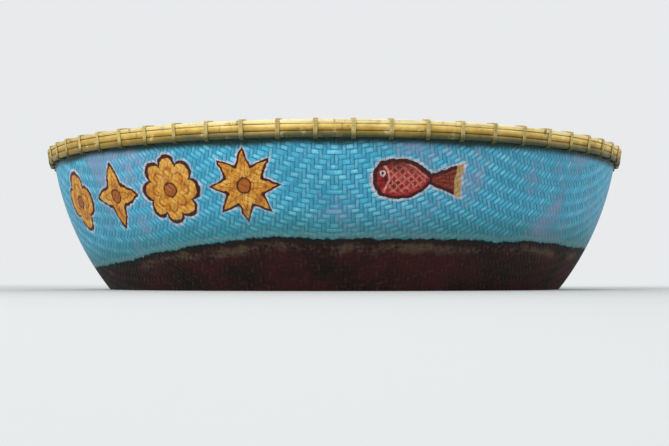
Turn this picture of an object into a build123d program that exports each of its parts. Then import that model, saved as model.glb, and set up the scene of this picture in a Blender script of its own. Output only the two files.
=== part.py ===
"""A round woven-bamboo basket boat, in millimetres.

The frame's origin is the middle of the waterline, +Z is up, and passengers face +Y.
The hull is one woven mat pressed into a bowl. Its section is three tangent arcs. Hoops clamp the mat's
edge and are tied round it, split-bamboo ribs cross on the bottom, a hoop part way up carries two seats,
and slats on shaped bearers make a flat floor.
"""

from build123d import *
from math import cos, degrees, radians, sin, sqrt
import os

# Hull section
MAT_TOP_RADIUS = 975.0
FREEBOARD = 455.0
RIM_LEAN = 8.0
SIDE_LEAN = 38.0
BILGE_LEAN = 75.0
SIDE_RADIUS = 950.0
BILGE_RADIUS = 500.0
MAT_THICK = 8.0

# The least gap left between pieces that touch on the real boat
SEAT_GAP = 0.3

# Rim hoops, their flat cap and the ties round them
HOOP_THICK = 14.0
HOOP_HIGH = 18.0
HOOP_ROUND = 5.0
CAP_HIGH = 12.0
CAP_ROUND = 5.0
TIE_COUNT = 60
TIE_WIDE = 11.0
TIE_THICK = 3.2

# Ribs: split bamboo, one set along X and one set over it along Y
RIB_WIDE = 36.0
RIB_THICK = 9.0
RIBS_EACH_SIDE = 2
RIB_END_GAP = 4.0
# The outermost crossings stay this far below where the upper set starts to bend down to the mat
CROSSING_CLEARANCE = 8.0

# Hoop that carries the seats
LEDGE_TOP = 68.0
LEDGE_HIGH = 32.0
LEDGE_THICK = 18.0

# Passenger bench: short boards across two bamboo poles, whose knuckles lie between the boards
BENCH_SHARE = 0.308
BENCH_DEEP = 350.0
BENCH_END = 102.0
BOARD_COUNT = 9
BOARD_SPACE = 14.0
BOARD_THICK = 18.0
EDGE_ROUND = 4.0
POLE_SPREAD = 240.0
POLE_RADIUS = 25.0
POLE_BED = 4.0
KNUCKLE_PROUD = 1.2
KNUCKLE_LONG = 6.0

# The rower's seat: one plank with its ends on the hoop
ROWER_SHARE = 0.45
ROWER_WIDE = 200.0
ROWER_THICK = 28.0
END_CLEARANCE = 5.0

# Slatted floor
FLOOR_ABOVE_BOTTOM = 96.0
SLAT_THICK = 12.0
SLAT_SHARE = 0.968
SLAT_SPACE = 22.0
SLAT_COUNT = 8
BEARER_END_HIGH = 14.0
FLOOR_CLEARANCE = 30.0


def centre_from(point, lean, radius):
    """The centre of an arc of that radius that passes point where the skin leans inward by lean."""
    return (point[0] - radius * cos(radians(lean)), point[1] + radius * sin(radians(lean)))


def from_centre(centre, lean, radius):
    return (centre[0] + radius * cos(radians(lean)), centre[1] - radius * sin(radians(lean)))


RIM_POINT = (MAT_TOP_RADIUS, FREEBOARD)
SIDE_CENTRE = centre_from(RIM_POINT, RIM_LEAN, SIDE_RADIUS)
SIDE_END = from_centre(SIDE_CENTRE, SIDE_LEAN, SIDE_RADIUS)
BILGE_CENTRE = centre_from(SIDE_END, SIDE_LEAN, BILGE_RADIUS)
BILGE_END = from_centre(BILGE_CENTRE, BILGE_LEAN, BILGE_RADIUS)
# The bottom arc closes on the axis, so its radius follows from where the bilge ends
BOTTOM_RADIUS = BILGE_END[0] / cos(radians(BILGE_LEAN))
BOTTOM_CENTRE = centre_from(BILGE_END, BILGE_LEAN, BOTTOM_RADIUS)

# Places that follow the hull's size
BENCH_Y = -BENCH_SHARE * MAT_TOP_RADIUS
ROWER_Y = ROWER_SHARE * MAT_TOP_RADIUS
FLOOR_TOP = BOTTOM_CENTRE[1] - BOTTOM_RADIUS + FLOOR_ABOVE_BOTTOM
RIB_PITCH = ((SIDE_END[0] - CROSSING_CLEARANCE) / sqrt(2) - RIB_WIDE / 2) / RIBS_EACH_SIDE

# Depths inside the mat's outer skin
MAT_INSIDE = MAT_THICK
LONG_RIB_SEAT = MAT_INSIDE + SEAT_GAP
LONG_RIB_INSIDE = LONG_RIB_SEAT + RIB_THICK
CROSS_RIB_SEAT = LONG_RIB_INSIDE + SEAT_GAP
CROSS_RIB_INSIDE = CROSS_RIB_SEAT + RIB_THICK
OUTER_HOOP = (-SEAT_GAP - HOOP_THICK, -SEAT_GAP)
INNER_HOOP = (MAT_INSIDE + SEAT_GAP, MAT_INSIDE + SEAT_GAP + HOOP_THICK)
# Distances down the skin from the mat's top edge
UPPER_HOOP = (0.0, HOOP_HIGH)
LOWER_HOOP = (HOOP_HIGH + SEAT_GAP, 2 * HOOP_HIGH + SEAT_GAP)
CAP = (-SEAT_GAP - CAP_HIGH, -SEAT_GAP)
TIE_FOOT = LOWER_HOOP[1] + SEAT_GAP
RIB_TOP = TIE_FOOT + TIE_THICK + RIB_END_GAP


def spot(pair):
    """A section point (radius, height) as a point of the XZ plane."""
    return Vector(pair[0], 0, pair[1])


def beside(depth, down):
    """The section point at that depth inside the outer skin and that far down it from the mat's top."""
    return spot(from_centre(SIDE_CENTRE, RIM_LEAN + degrees(down / SIDE_RADIUS), SIDE_RADIUS - depth))


def skin_radius(height, depth):
    """Distance from the axis of the surface at that depth inside the outer skin, at that height."""
    arcs = (
        (SIDE_CENTRE, SIDE_RADIUS, 0, SIDE_LEAN),
        (BILGE_CENTRE, BILGE_RADIUS, SIDE_LEAN, BILGE_LEAN),
        (BOTTOM_CENTRE, BOTTOM_RADIUS, BILGE_LEAN, 90),
    )
    for centre, radius, first, last in arcs:
        rise = (centre[1] - height) / (radius - depth)
        if rise <= sin(radians(last)):
            return centre[0] + (radius - depth) * sqrt(1 - rise * rise)
    return 0.0


def side_face(corners):
    """A face beside the mat from (depth, down) corners. Edges of one depth follow the skin's curve."""
    edges = []
    for (depth, down), (next_depth, next_down) in zip(corners, corners[1:] + corners[:1]):
        ends = (beside(depth, down), beside(next_depth, next_down))
        if depth == next_depth:
            edges.append(ThreePointArc(ends[0], beside(depth, (down + next_down) / 2), ends[1]))
        else:
            edges.append(Line(*ends))
    return Face(Wire(edges))


def band(depths, downs):
    """The four corners of a plain hoop section."""
    return [(depths[0], downs[0]), (depths[1], downs[0]), (depths[1], downs[1]), (depths[0], downs[1])]


def skin_edges(depth, top_depth, down):
    """Edges of one surface of a layer, from its top edge down to the axis."""
    low = SIDE_RADIUS * radians(SIDE_LEAN - RIM_LEAN)
    middle = (down + low) / 2
    side = ThreePointArc(
        beside(top_depth, down), beside((depth + top_depth) / 2, middle), beside(depth, low)
    )
    bilge_lean = (SIDE_LEAN + BILGE_LEAN) / 2
    bilge = ThreePointArc(
        beside(depth, low),
        spot(from_centre(BILGE_CENTRE, bilge_lean, BILGE_RADIUS - depth)),
        spot(from_centre(BILGE_CENTRE, BILGE_LEAN, BILGE_RADIUS - depth)),
    )
    bottom = ThreePointArc(
        spot(from_centre(BOTTOM_CENTRE, BILGE_LEAN, BOTTOM_RADIUS - depth)),
        spot(from_centre(BOTTOM_CENTRE, (BILGE_LEAN + 90) / 2, BOTTOM_RADIUS - depth)),
        spot(from_centre(BOTTOM_CENTRE, 90, BOTTOM_RADIUS - depth)),
    )
    return [side, bilge, bottom]


def layer(outside, inside, down, top_outside=None, top_inside=None):
    """A bowl of revolution between two depths, open at the top."""
    top_outside = outside if top_outside is None else top_outside
    top_inside = inside if top_inside is None else top_inside
    outer = skin_edges(outside, top_outside, down)
    inner = skin_edges(inside, top_inside, down)
    rim = Line(outer[0] @ 0, inner[0] @ 0)
    axis = Line(outer[-1] @ 1, inner[-1] @ 1)
    return revolve(Face(Wire([*outer, *inner, rim, axis])), Axis.Z)


def space_inside(depth):
    """The solid of the space inside one depth of the hull."""
    skin = skin_edges(depth, depth, RIB_TOP)
    top = skin[0] @ 0
    lid = Line(top, Vector(0, 0, top.Z))
    axis = Line(lid @ 1, skin[-1] @ 1)
    return revolve(Face(Wire([*skin, lid, axis])), Axis.Z)


def slab(wide, across):
    """A tall slab along X at that Y."""
    return Pos(0, across, 0) * Box(4 * MAT_TOP_RADIUS, wide, 4 * MAT_TOP_RADIUS)


def block(x, y, z):
    """A box from its low and high limits on each axis."""
    return Pos((x[0] + x[1]) / 2, (y[0] + y[1]) / 2, (z[0] + z[1]) / 2) * Box(
        x[1] - x[0], y[1] - y[0], z[1] - z[0]
    )


def hull_mat():
    return layer(0, MAT_INSIDE, 0)


def rounded_hoop_face(depths, downs, exposed, radius):
    """A hoop section with the corners on its exposed side rounded."""
    face = side_face(band(depths, downs))
    corners = [beside(exposed, down) for down in downs]
    chosen = [v for v in face.vertices() if min((Vector(v) - c).length for c in corners) < 0.01]
    return fillet(chosen, radius)


def hoop(depths, downs, exposed):
    """A rim hoop: a split-bamboo lath bent into a ring, flat against the mat and rounded on the other side."""
    return revolve(rounded_hoop_face(depths, downs, exposed, HOOP_ROUND), Axis.Z)


def cap():
    """The flat lath that covers the mat's cut edge and the tops of the hoops."""
    depths = (OUTER_HOOP[0], INNER_HOOP[1])
    face = side_face(band(depths, CAP))
    corners = [beside(depth, CAP[0]) for depth in depths]
    chosen = [v for v in face.vertices() if min((Vector(v) - c).length for c in corners) < 0.01]
    return revolve(fillet(chosen, CAP_ROUND), Axis.Z)


def tie():
    """One lashing: over the cap, down both sides and under the hoops to the mat's two skins."""
    near = (OUTER_HOOP[0] - SEAT_GAP, INNER_HOOP[1] + SEAT_GAP)
    far = (near[0] - TIE_THICK, near[1] + TIE_THICK)
    mat = (-SEAT_GAP, MAT_INSIDE + SEAT_GAP)
    roof = (CAP[0] - SEAT_GAP, CAP[0] - SEAT_GAP - TIE_THICK)
    foot = (TIE_FOOT, TIE_FOOT + TIE_THICK)
    face = side_face(
        [
            (mat[0], foot[0]),
            (near[0], foot[0]),
            (near[0], roof[0]),
            (near[1], roof[0]),
            (near[1], foot[0]),
            (mat[1], foot[0]),
            (mat[1], foot[1]),
            (far[1], foot[1]),
            (far[1], roof[1]),
            (far[0], roof[1]),
            (far[0], foot[1]),
            (mat[0], foot[1]),
        ]
    )
    turn = degrees(TIE_WIDE / MAT_TOP_RADIUS)
    return Rot(0, 0, -turn / 2) * revolve(face, Axis.Z, turn)


def ties():
    one = tie()
    return [Rot(0, 0, (count + 0.5) * 360 / TIE_COUNT) * one for count in range(TIE_COUNT)]


def ribs():
    """Two crossed sets of ribs. The upper set bends down to the mat at its ends."""
    long_layer = layer(LONG_RIB_SEAT, LONG_RIB_INSIDE, RIB_TOP)
    cross_layer = layer(
        CROSS_RIB_SEAT, CROSS_RIB_INSIDE, RIB_TOP, LONG_RIB_SEAT, LONG_RIB_INSIDE
    )
    made = {}
    for number in range(-RIBS_EACH_SIDE, RIBS_EACH_SIDE + 1):
        strip = slab(RIB_WIDE, number * RIB_PITCH)
        name = number + RIBS_EACH_SIDE + 1
        made[f"long_rib_{name}"] = long_layer & strip
        made[f"cross_rib_{name}"] = Rot(0, 0, 90) * (Rot(0, 0, -90) * cross_layer & strip)
    return made


def ledge_hoop():
    """The hoop part way up the side. Its top is level, and it is notched where the upper ribs pass."""
    depths = (CROSS_RIB_SEAT, CROSS_RIB_SEAT + LEDGE_THICK)
    levels = (LEDGE_TOP - LEDGE_HIGH, LEDGE_TOP)

    def on_skin(depth, height):
        return spot((skin_radius(height, depth), height))

    middle = sum(levels) / 2
    edges = [
        Line(on_skin(depths[0], levels[1]), on_skin(depths[1], levels[1])),
        ThreePointArc(*(on_skin(depths[1], z) for z in (levels[1], middle, levels[0]))),
        Line(on_skin(depths[1], levels[0]), on_skin(depths[0], levels[0])),
        ThreePointArc(*(on_skin(depths[0], z) for z in (levels[0], middle, levels[1]))),
    ]
    ring = revolve(Face(Wire(edges)), Axis.Z)
    relief = layer(
        0, CROSS_RIB_INSIDE + SEAT_GAP, RIB_TOP, 0, LONG_RIB_INSIDE + SEAT_GAP
    )
    for number in range(-RIBS_EACH_SIDE, RIBS_EACH_SIDE + 1):
        strip = Rot(0, 0, 90) * slab(RIB_WIDE + 2 * SEAT_GAP, -number * RIB_PITCH)
        ring -= relief & strip
    return ring


def inside_ribs(height, gap):
    """Radius of the clear round space between the rib faces at that height."""
    return skin_radius(height, CROSS_RIB_INSIDE) - gap


def trimmed(piece, radius):
    """A piece with its ends cut round to follow the hull."""
    return piece & Cylinder(radius, 4 * MAT_TOP_RADIUS)


def chord(radius, across):
    """Half the length of a circle's chord at that distance from its middle."""
    return sqrt(radius**2 - across**2)


def board_pitch():
    """The boards share the width that the shorter pole leaves them."""
    reach = inside_ribs(LEDGE_TOP - POLE_BED, END_CLEARANCE)
    half = chord(reach, abs(BENCH_Y) + POLE_SPREAD / 2 + POLE_RADIUS) - BENCH_END
    return (2 * half + BOARD_SPACE) / BOARD_COUNT


def bamboo(half, pitch, clear):
    """A bamboo pole along X from -half to half, with a knuckle at every pitch but near its ends."""
    corners = [(-half, 0), (-half, POLE_RADIUS)]
    count = int((half - clear) // pitch)
    for place in range(-count, count + 1):
        x = (place + 0.25) * pitch
        corners += [
            (x - KNUCKLE_LONG / 2 - KNUCKLE_PROUD, POLE_RADIUS),
            (x - KNUCKLE_LONG / 2, POLE_RADIUS + KNUCKLE_PROUD),
            (x + KNUCKLE_LONG / 2, POLE_RADIUS + KNUCKLE_PROUD),
            (x + KNUCKLE_LONG / 2 + KNUCKLE_PROUD, POLE_RADIUS),
        ]
    corners += [(half, POLE_RADIUS), (half, 0)]
    points = [Vector(x, 0, radius) for x, radius in corners]
    return revolve(Face(Wire(Polyline(*points, close=True).edges())), Axis.X)


def seat_pole(across):
    """A bamboo pole across the boat, flattened where it lies on the ledge hoop and cut to the hull."""
    rest = LEDGE_TOP - POLE_BED
    reach = inside_ribs(rest, END_CLEARANCE)
    half = chord(reach, abs(across) - POLE_RADIUS)
    # A knuckle comes after every second board
    pole = Pos(0, across, rest + POLE_RADIUS) * bamboo(half, 2 * board_pitch(), 4 * LEDGE_THICK)
    sides = (across - 2 * POLE_RADIUS, across + 2 * POLE_RADIUS)
    flats = block((-half, half), sides, (rest - LEDGE_HIGH, LEDGE_TOP))
    clear = skin_radius(LEDGE_TOP - LEDGE_HIGH, CROSS_RIB_SEAT + LEDGE_THICK) - 2 * END_CLEARANCE
    flats -= Cylinder(clear, 4 * MAT_TOP_RADIUS)
    return trimmed(pole - flats, reach)


def rounded_plank(x, y, z, along):
    """A plank whose top edges along one axis are rounded."""
    plank = block(x, y, z)
    edges = plank.edges().filter_by(along).group_by(Axis.Z)[-1]
    return fillet(edges, EDGE_ROUND)


def bench_boards():
    """The passenger bench: short boards side by side across the two poles."""
    under = LEDGE_TOP - POLE_BED + 2 * POLE_RADIUS + SEAT_GAP
    y = (BENCH_Y - BENCH_DEEP / 2, BENCH_Y + BENCH_DEEP / 2)
    wide = board_pitch() - BOARD_SPACE
    made = {}
    for number in range(BOARD_COUNT):
        x = (number - (BOARD_COUNT - 1) / 2) * board_pitch()
        made[f"bench_board_{number + 1}"] = rounded_plank(
            (x - wide / 2, x + wide / 2), y, (under, under + BOARD_THICK), Axis.Y
        )
    return made


def rower_plank():
    """The rower's seat: one plank whose ends lie on the ledge hoop."""
    under = LEDGE_TOP
    reach = inside_ribs(under, END_CLEARANCE)
    y = (ROWER_Y - ROWER_WIDE / 2, ROWER_Y + ROWER_WIDE / 2)
    plank = rounded_plank((-reach, reach), y, (under, under + ROWER_THICK), Axis.X)
    return trimmed(plank, reach)


def floor():
    """Bearers shaped to the hull on the three middle upper ribs, with slats across them."""
    under_slats = FLOOR_TOP - SLAT_THICK
    reach = skin_radius(under_slats - BEARER_END_HIGH, CROSS_RIB_INSIDE)
    room = space_inside(CROSS_RIB_INSIDE + SEAT_GAP)
    made = {}
    for number in (-1, 0, 1):
        x = number * RIB_PITCH
        half = chord(reach, x) - RIB_WIDE
        low = FLOOR_TOP - FLOOR_ABOVE_BOTTOM
        bearer = block((x - RIB_WIDE / 2, x + RIB_WIDE / 2), (-half, half), (low, under_slats))
        made[f"floor_bearer_{number + 2}"] = bearer & room
    slat_reach = skin_radius(under_slats, CROSS_RIB_INSIDE) - FLOOR_CLEARANCE
    pitch = (2 * slat_reach * SLAT_SHARE + SLAT_SPACE) / SLAT_COUNT
    wide = pitch - SLAT_SPACE
    for number in range(SLAT_COUNT):
        y = (number - (SLAT_COUNT - 1) / 2) * pitch
        half = chord(slat_reach, abs(y) + wide / 2)
        made[f"floor_slat_{number + 1}"] = rounded_plank(
            (-half, half), (y - wide / 2, y + wide / 2), (under_slats, FLOOR_TOP), Axis.X
        )
    return made


def build():
    made = {"hull_mat": hull_mat()}
    hoops = (
        ("rim_hoop_outer_upper", OUTER_HOOP, UPPER_HOOP, OUTER_HOOP[0]),
        ("rim_hoop_outer_lower", OUTER_HOOP, LOWER_HOOP, OUTER_HOOP[0]),
        ("rim_hoop_inner_upper", INNER_HOOP, UPPER_HOOP, INNER_HOOP[1]),
        ("rim_hoop_inner_lower", INNER_HOOP, LOWER_HOOP, INNER_HOOP[1]),
    )
    for name, depths, downs, exposed in hoops:
        made[name] = hoop(depths, downs, exposed)
    made["rim_cap"] = cap()
    made["rim_ties"] = Compound(children=ties())
    made.update(ribs())
    made["ledge_hoop"] = ledge_hoop()
    for number, side in enumerate((-1, 1)):
        made[f"seat_pole_{number + 1}"] = seat_pole(BENCH_Y + side * POLE_SPREAD / 2)
    made.update(bench_boards())
    made["rower_plank"] = rower_plank()
    made.update(floor())
    return made


os.makedirs("parts", exist_ok=True)
for node, shape in build().items():
    export_step(shape, f"parts/{node}.step")
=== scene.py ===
# %% [markdown]
# # A painted bamboo basket boat
# This lesson dresses the CAD model of a round woven boat. The solids already give every piece its
# place and size. What is missing is what the eye reads first: the twill of the mat, the oil paint that
# fills it, the tar below, the lashed rim and the grain of the bamboo. We load the CAD model as a
# fixed frame, keep the solids that need only a finish, and replace those whose surface has relief.

# %% Load the frame
from math import asin, ceil, cos, pi, radians, sin, sqrt

import bpy
import numpy as np
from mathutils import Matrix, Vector


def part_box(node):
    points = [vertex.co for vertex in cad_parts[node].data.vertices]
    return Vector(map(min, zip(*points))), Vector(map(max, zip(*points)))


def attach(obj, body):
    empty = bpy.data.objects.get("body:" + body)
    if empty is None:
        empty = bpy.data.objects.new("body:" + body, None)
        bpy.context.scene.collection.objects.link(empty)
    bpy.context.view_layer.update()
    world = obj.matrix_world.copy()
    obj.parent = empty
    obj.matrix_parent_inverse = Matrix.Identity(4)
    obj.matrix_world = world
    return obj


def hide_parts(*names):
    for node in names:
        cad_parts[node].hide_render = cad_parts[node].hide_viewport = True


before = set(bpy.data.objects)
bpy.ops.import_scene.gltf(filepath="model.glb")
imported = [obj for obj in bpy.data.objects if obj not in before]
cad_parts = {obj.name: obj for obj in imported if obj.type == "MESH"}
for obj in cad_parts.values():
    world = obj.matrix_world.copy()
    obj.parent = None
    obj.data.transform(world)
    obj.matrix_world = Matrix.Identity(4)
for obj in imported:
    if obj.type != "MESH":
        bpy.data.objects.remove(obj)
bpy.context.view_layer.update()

scene = bpy.context.scene
scene.view_settings.view_transform = "Standard"

# %% [markdown]
# ## Two small kits
# An operator acts on all that is selected, and the frame comes in selected. So each step first selects
# just what it is to act on. The first kit does that, for whole pieces and for the faces of one.

# %% Select only what is to be changed
def select_only(*pieces):
    """Leaves only these pieces selected, the last of them active."""
    bpy.ops.object.select_all(action="DESELECT")
    for piece in pieces:
        piece.select_set(True)
        bpy.context.view_layer.objects.active = piece


def select_faces(piece, chosen):
    """Opens a piece in edit mode with only the chosen faces selected."""
    select_only(piece)
    bpy.ops.object.mode_set(mode="EDIT")
    bpy.ops.mesh.select_mode(type="FACE")
    bpy.ops.mesh.select_all(action="DESELECT")
    bpy.ops.object.mode_set(mode="OBJECT")
    piece.data.polygons.foreach_set("select", chosen)
    bpy.ops.object.mode_set(mode="EDIT")


def face_outwards(piece):
    """Turns all faces of a closed piece outwards."""
    select_faces(piece, np.ones(len(piece.data.polygons), bool))
    bpy.ops.mesh.normals_make_consistent(inside=False)
    bpy.ops.object.mode_set(mode="OBJECT")


def smooth(piece, angle):
    """Smooth shading that keeps edges sharper than angle."""
    select_only(piece)
    bpy.ops.object.shade_smooth_by_angle(angle=radians(angle))


print("nothing is selected until a step asks for it")

# %% [markdown]
# A finish is a handful of nodes: some patterns, a colour for each and a little relief. The classes below
# add a node in one short call, so that the recipe of each finish stays readable. Every pattern reads
# the piece's own coordinates or attributes, so it stays on the surface whatever the camera does.

# %% Nodes in one short call each
def srgb(red, green, blue):
    """An 8-bit screen colour as the linear colour that nodes use."""
    linear = []
    for channel in (red, green, blue):
        value = channel / 255
        linear.append(value / 12.92 if value <= 0.04045 else ((value + 0.055) / 1.055) ** 2.4)
    return (*linear, 1.0)


class Nodes:
    """Calls that add a node to a material or a world, and give back the new node's output.

    Wherever a call takes a value, it may be a number or another node's output."""

    def __init__(self, holder):
        holder.use_nodes = True
        self.tree = holder.node_tree

    def add(self, kind, inputs=(), **settings):
        node = self.tree.nodes.new("ShaderNode" + kind)
        for key, value in settings.items():
            setattr(node, key, value)
        for key, value in dict(inputs).items():
            if isinstance(value, bpy.types.NodeSocket):
                self.tree.links.new(value, node.inputs[key])
            else:
                node.inputs[key].default_value = value
        return node

    def surface(self, shader):
        """Joins a shader to the tree's output."""
        output = next(node for node in self.tree.nodes if node.type.startswith("OUTPUT"))
        self.tree.links.new(shader, output.inputs["Surface"])

    def math(self, operation, a, b=0.0):
        return self.add("Math", {0: a, 1: b}, operation=operation).outputs[0]

    def chain(self, operation, values):
        """One operation over all the values, from the first to the last."""
        result, *rest = values
        for value in rest:
            result = self.math(operation, result, value)
        return result

    def least(self, *values):
        return self.chain("MINIMUM", values)

    def most(self, *values):
        return self.chain("MAXIMUM", values)

    def product(self, *values):
        return self.chain("MULTIPLY", values)

    def total(self, *terms):
        """A sum, in which a term is a value or a pair of a value and its weight."""
        return self.chain("ADD", [self.product(*term) if isinstance(term, tuple) else term for term in terms])

    def gap(self, a, b):
        """How far apart two values are."""
        return self.math("ABSOLUTE", self.math("SUBTRACT", a, b))

    def fade(self, value, low, high, to_low=0.0, to_high=1.0):
        """value's range low to high, turned into to_low to to_high and held there."""
        inputs = {"Value": value, "From Min": low, "From Max": high, "To Min": to_low, "To Max": to_high}
        return self.add("MapRange", inputs, interpolation_type="SMOOTHSTEP").outputs["Result"]

    def vector(self, operation, a, b=(0, 0, 0)):
        outputs = self.add("VectorMath", {0: a, 1: b}, operation=operation).outputs
        return outputs["Value" if operation in ("LENGTH", "DOT_PRODUCT") else "Vector"]

    def split(self, vector):
        """The three numbers of a vector."""
        return tuple(self.add("SeparateXYZ", {"Vector": vector}).outputs)


print("nodes can be added to a material or to a world")

# %% [markdown]
# Most finishes want the same few things: noise, fibres drawn out along the grain, thin lines, and
# layers of colour over a ground.

# %% Patterns and layers of a finish
class Finish(Nodes):
    """A material. Its patterns lie on the piece's own coordinates unless they are given others."""

    def __init__(self, name, roughness):
        self.material = bpy.data.materials.new(name)
        super().__init__(self.material)
        self.shader = self.tree.nodes["Principled BSDF"]
        self.shader.inputs["Roughness"].default_value = roughness
        self.here = self.add("TexCoord").outputs["Object"]
        self.x, self.y, self.z = self.split(self.here)

    def attribute(self, name, vector=False):
        return self.add("Attribute", attribute_name=name).outputs["Vector" if vector else "Fac"]

    def stretched(self, scale, source=None, turn=(0, 0, 0)):
        """Coordinates in which a pattern is drawn out along the axis whose scale is small."""
        inputs = {"Vector": source or self.here, "Scale": scale, "Rotation": turn}
        return self.add("Mapping", inputs).outputs[0]

    def noise(self, scale, detail, rough=0.55, source=None):
        inputs = {"Vector": source or self.here, "Scale": scale, "Detail": detail, "Roughness": rough}
        return self.add("TexNoise", inputs).outputs["Fac"]

    def fibres(self, stretch, detail, rough=0.55, source=None):
        """Noise drawn out into fibres along the axis where stretch is small."""
        return self.noise(1.0, detail, rough, self.stretched(stretch, source))

    def swing(self, value, width):
        """A value of 0 to 1, turned into one that swings by width about nought."""
        return self.product(self.math("SUBTRACT", value, 0.5), width)

    def line(self, value, middle, full, gone, strength=1.0):
        """A line where a value is near middle: whole as far off as full, and nothing left at gone."""
        return self.fade(self.gap(value, middle), full, gone, strength, 0.0)

    def ramp(self, value, *stops):
        """A colour ramp of (place, colour) stops."""
        ramp = self.add("ValToRGB", {"Fac": value})
        elements = ramp.color_ramp.elements
        while len(elements) < len(stops):
            elements.new(0.5)
        for element, (place, colour) in zip(elements, stops):
            element.position = place
            element.color = colour
        return ramp.outputs["Color"]

    def mix(self, factor, a, b, way="MIX"):
        """A colour between two, or one laid over the other in another way."""
        return self.add("Mix", {0: factor, 6: a, 7: b}, data_type="RGBA", blend_type=way).outputs[2]

    def layers(self, ground, *layers):
        """A ground colour under layers of (where a layer covers, its colour), the last on top."""
        for where, colour in layers:
            ground = self.mix(where, ground, colour)
        return ground

    def blend(self, factor, a, b):
        """A plain value between two."""
        return self.add("Mix", {0: factor, 2: a, 3: b}, data_type="FLOAT").outputs[0]

    def from_middle(self, place, middle, size=(1, 1)):
        """A place measured from a figure's middle, in units of the figure's size."""
        inputs = {"Vector": place, "Location": (*middle, 0), "Scale": (*size, 1)}
        return self.add("Mapping", inputs, vector_type="TEXTURE").outputs[0]

    def ellipse(self, place, middle, radii):
        """About how far a place lies outside an ellipse, and below nought inside it."""
        length = self.vector("LENGTH", self.from_middle(place, middle, radii))
        return self.product(self.math("SUBTRACT", length, 1.0), min(radii))

    def finished(self, colour, roughness=None, bump=None):
        """Joins the patterns to the shader, and gives the material. bump is height, distance, strength."""
        self.tree.links.new(colour, self.shader.inputs["Base Color"])
        if roughness:
            self.tree.links.new(roughness, self.shader.inputs["Roughness"])
        if bump:
            height, distance, strength = bump
            node = self.add("Bump", {"Height": height, "Distance": distance, "Strength": strength})
            self.tree.links.new(node.outputs[0], self.shader.inputs["Normal"])
        return self.material


print("finishes are ready to mix")

# %% [markdown]
# ## The camera
# The photograph looks up at the rim from just above the waterline, so the rim shows as an arch and
# nothing of the inside shows. The camera therefore stands just above the floor, which lies at the
# waterline. It stands on the -Y side, near enough to give the rim its arch, and the lens fills the frame.

# %% Camera low at the waterline
CAMERA_PLACE = Vector((0, -4.0, 0.03))
CAMERA_AIM = Vector((0, 0, 0.235))
LENS = 60.5


def aimed(thing, place, aim):
    """Puts a camera or a lamp at a place and turns it to look at another."""
    holder = bpy.data.objects.new(thing.name, thing)
    scene.collection.objects.link(holder)
    holder.location = place
    holder.rotation_euler = (Vector(aim) - Vector(place)).to_track_quat("-Z", "Y").to_euler()
    return holder


lens = bpy.data.cameras.new("camera")
lens.lens = LENS
scene.camera = aimed(lens, CAMERA_PLACE, CAMERA_AIM)
print("camera at", tuple(CAMERA_PLACE), "lens", LENS)

# %% [markdown]
# ## Floor and light
# The floor lies at the waterline. It has a round hole just inside the hull's skin, because a plain
# plane would cut through the boat and hide the slatted floor, which lies lower. A large soft lamp and
# a pale sky light the paint evenly, so each colour renders about as written.

# %% Floor, sky and lamps
WATERLINE_RADIUS = 0.779
FLOOR_REACH = 400.0
# Distances from the boat between which the floor turns into the backdrop, so that no edge shows
FLOOR_FADES = (1.6, 6.0)
BACKDROP, FLOOR_COLOUR, SKY_COLOUR = srgb(232, 234, 236), srgb(210, 211, 209), srgb(236, 240, 244)
SKY_STRENGTH = 0.62
LAMP_AIM = (0, 0, 0.2)
LAMPS = (
    # name, place, size in metres, power in watts
    ("key", (-3.4, -5.0, 3.7), 3.0, 268),
    ("fill", (4.8, -2.0, 2.4), 3.5, 72),
    ("back", (0.5, 4.8, 2.8), 3.0, 92),
)


def rays_seen(nodes):
    """1 for a ray from the camera, or one that gloss or glass sends on."""
    path = nodes.add("LightPath").outputs
    return nodes.most(path["Is Camera Ray"], path["Is Glossy Ray"], path["Is Transmission Ray"])


def make_floor():
    select_only()
    bpy.ops.mesh.primitive_circle_add(vertices=128, radius=WATERLINE_RADIUS)
    floor = bpy.context.object
    floor.name = "studio_floor"
    bpy.ops.object.mode_set(mode="EDIT")
    bpy.ops.mesh.select_all(action="SELECT")
    bpy.ops.mesh.extrude_region_move()
    bpy.ops.transform.resize(value=(FLOOR_REACH / WATERLINE_RADIUS,) * 2 + (1,))
    bpy.ops.mesh.select_all(action="SELECT")
    bpy.ops.mesh.normals_make_consistent(inside=False)
    bpy.ops.object.mode_set(mode="OBJECT")
    if floor.data.polygons[0].normal.z < 0:
        floor.data.flip_normals()
    pale = Finish("pale_floor", 0.9)
    pale.shader.inputs["Base Color"].default_value = FLOOR_COLOUR
    far = pale.product(pale.fade(pale.vector("LENGTH", pale.here), *FLOOR_FADES), rays_seen(pale))
    glow = pale.add("Emission", {"Color": BACKDROP})
    pale.surface(pale.add("MixShader", {0: far, 1: pale.shader.outputs[0], 2: glow.outputs[0]}).outputs[0])
    floor.data.materials.append(pale.material)


def make_sky():
    """A sky that lights with one colour and shows as the backdrop."""
    scene.world = bpy.data.worlds.new("sky")
    sky = Nodes(scene.world)
    light = sky.tree.nodes["Background"]
    light.inputs["Color"].default_value = SKY_COLOUR
    light.inputs["Strength"].default_value = SKY_STRENGTH
    shown = sky.add("Background", {"Color": BACKDROP})
    mixed = sky.add("MixShader", {0: rays_seen(sky), 1: light.outputs[0], 2: shown.outputs[0]})
    sky.surface(mixed.outputs[0])


make_floor()
make_sky()
for name, place, size, power in LAMPS:
    lamp = bpy.data.lights.new(name, "AREA")
    lamp.size, lamp.energy = size, power
    aimed(lamp, place, LAMP_AIM)
print(len(LAMPS), "lamps and a pale sky")

# %% [markdown]
# ## The hull's section
# Each new piece follows the same bowl as the CAD model, so we write its section again, in metres:
# three arcs that meet smoothly, for the side, the bilge and the bottom. A place on the hull is then
# two numbers, how far down the skin it lies from the mat's top edge and how deep under the skin.

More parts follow.
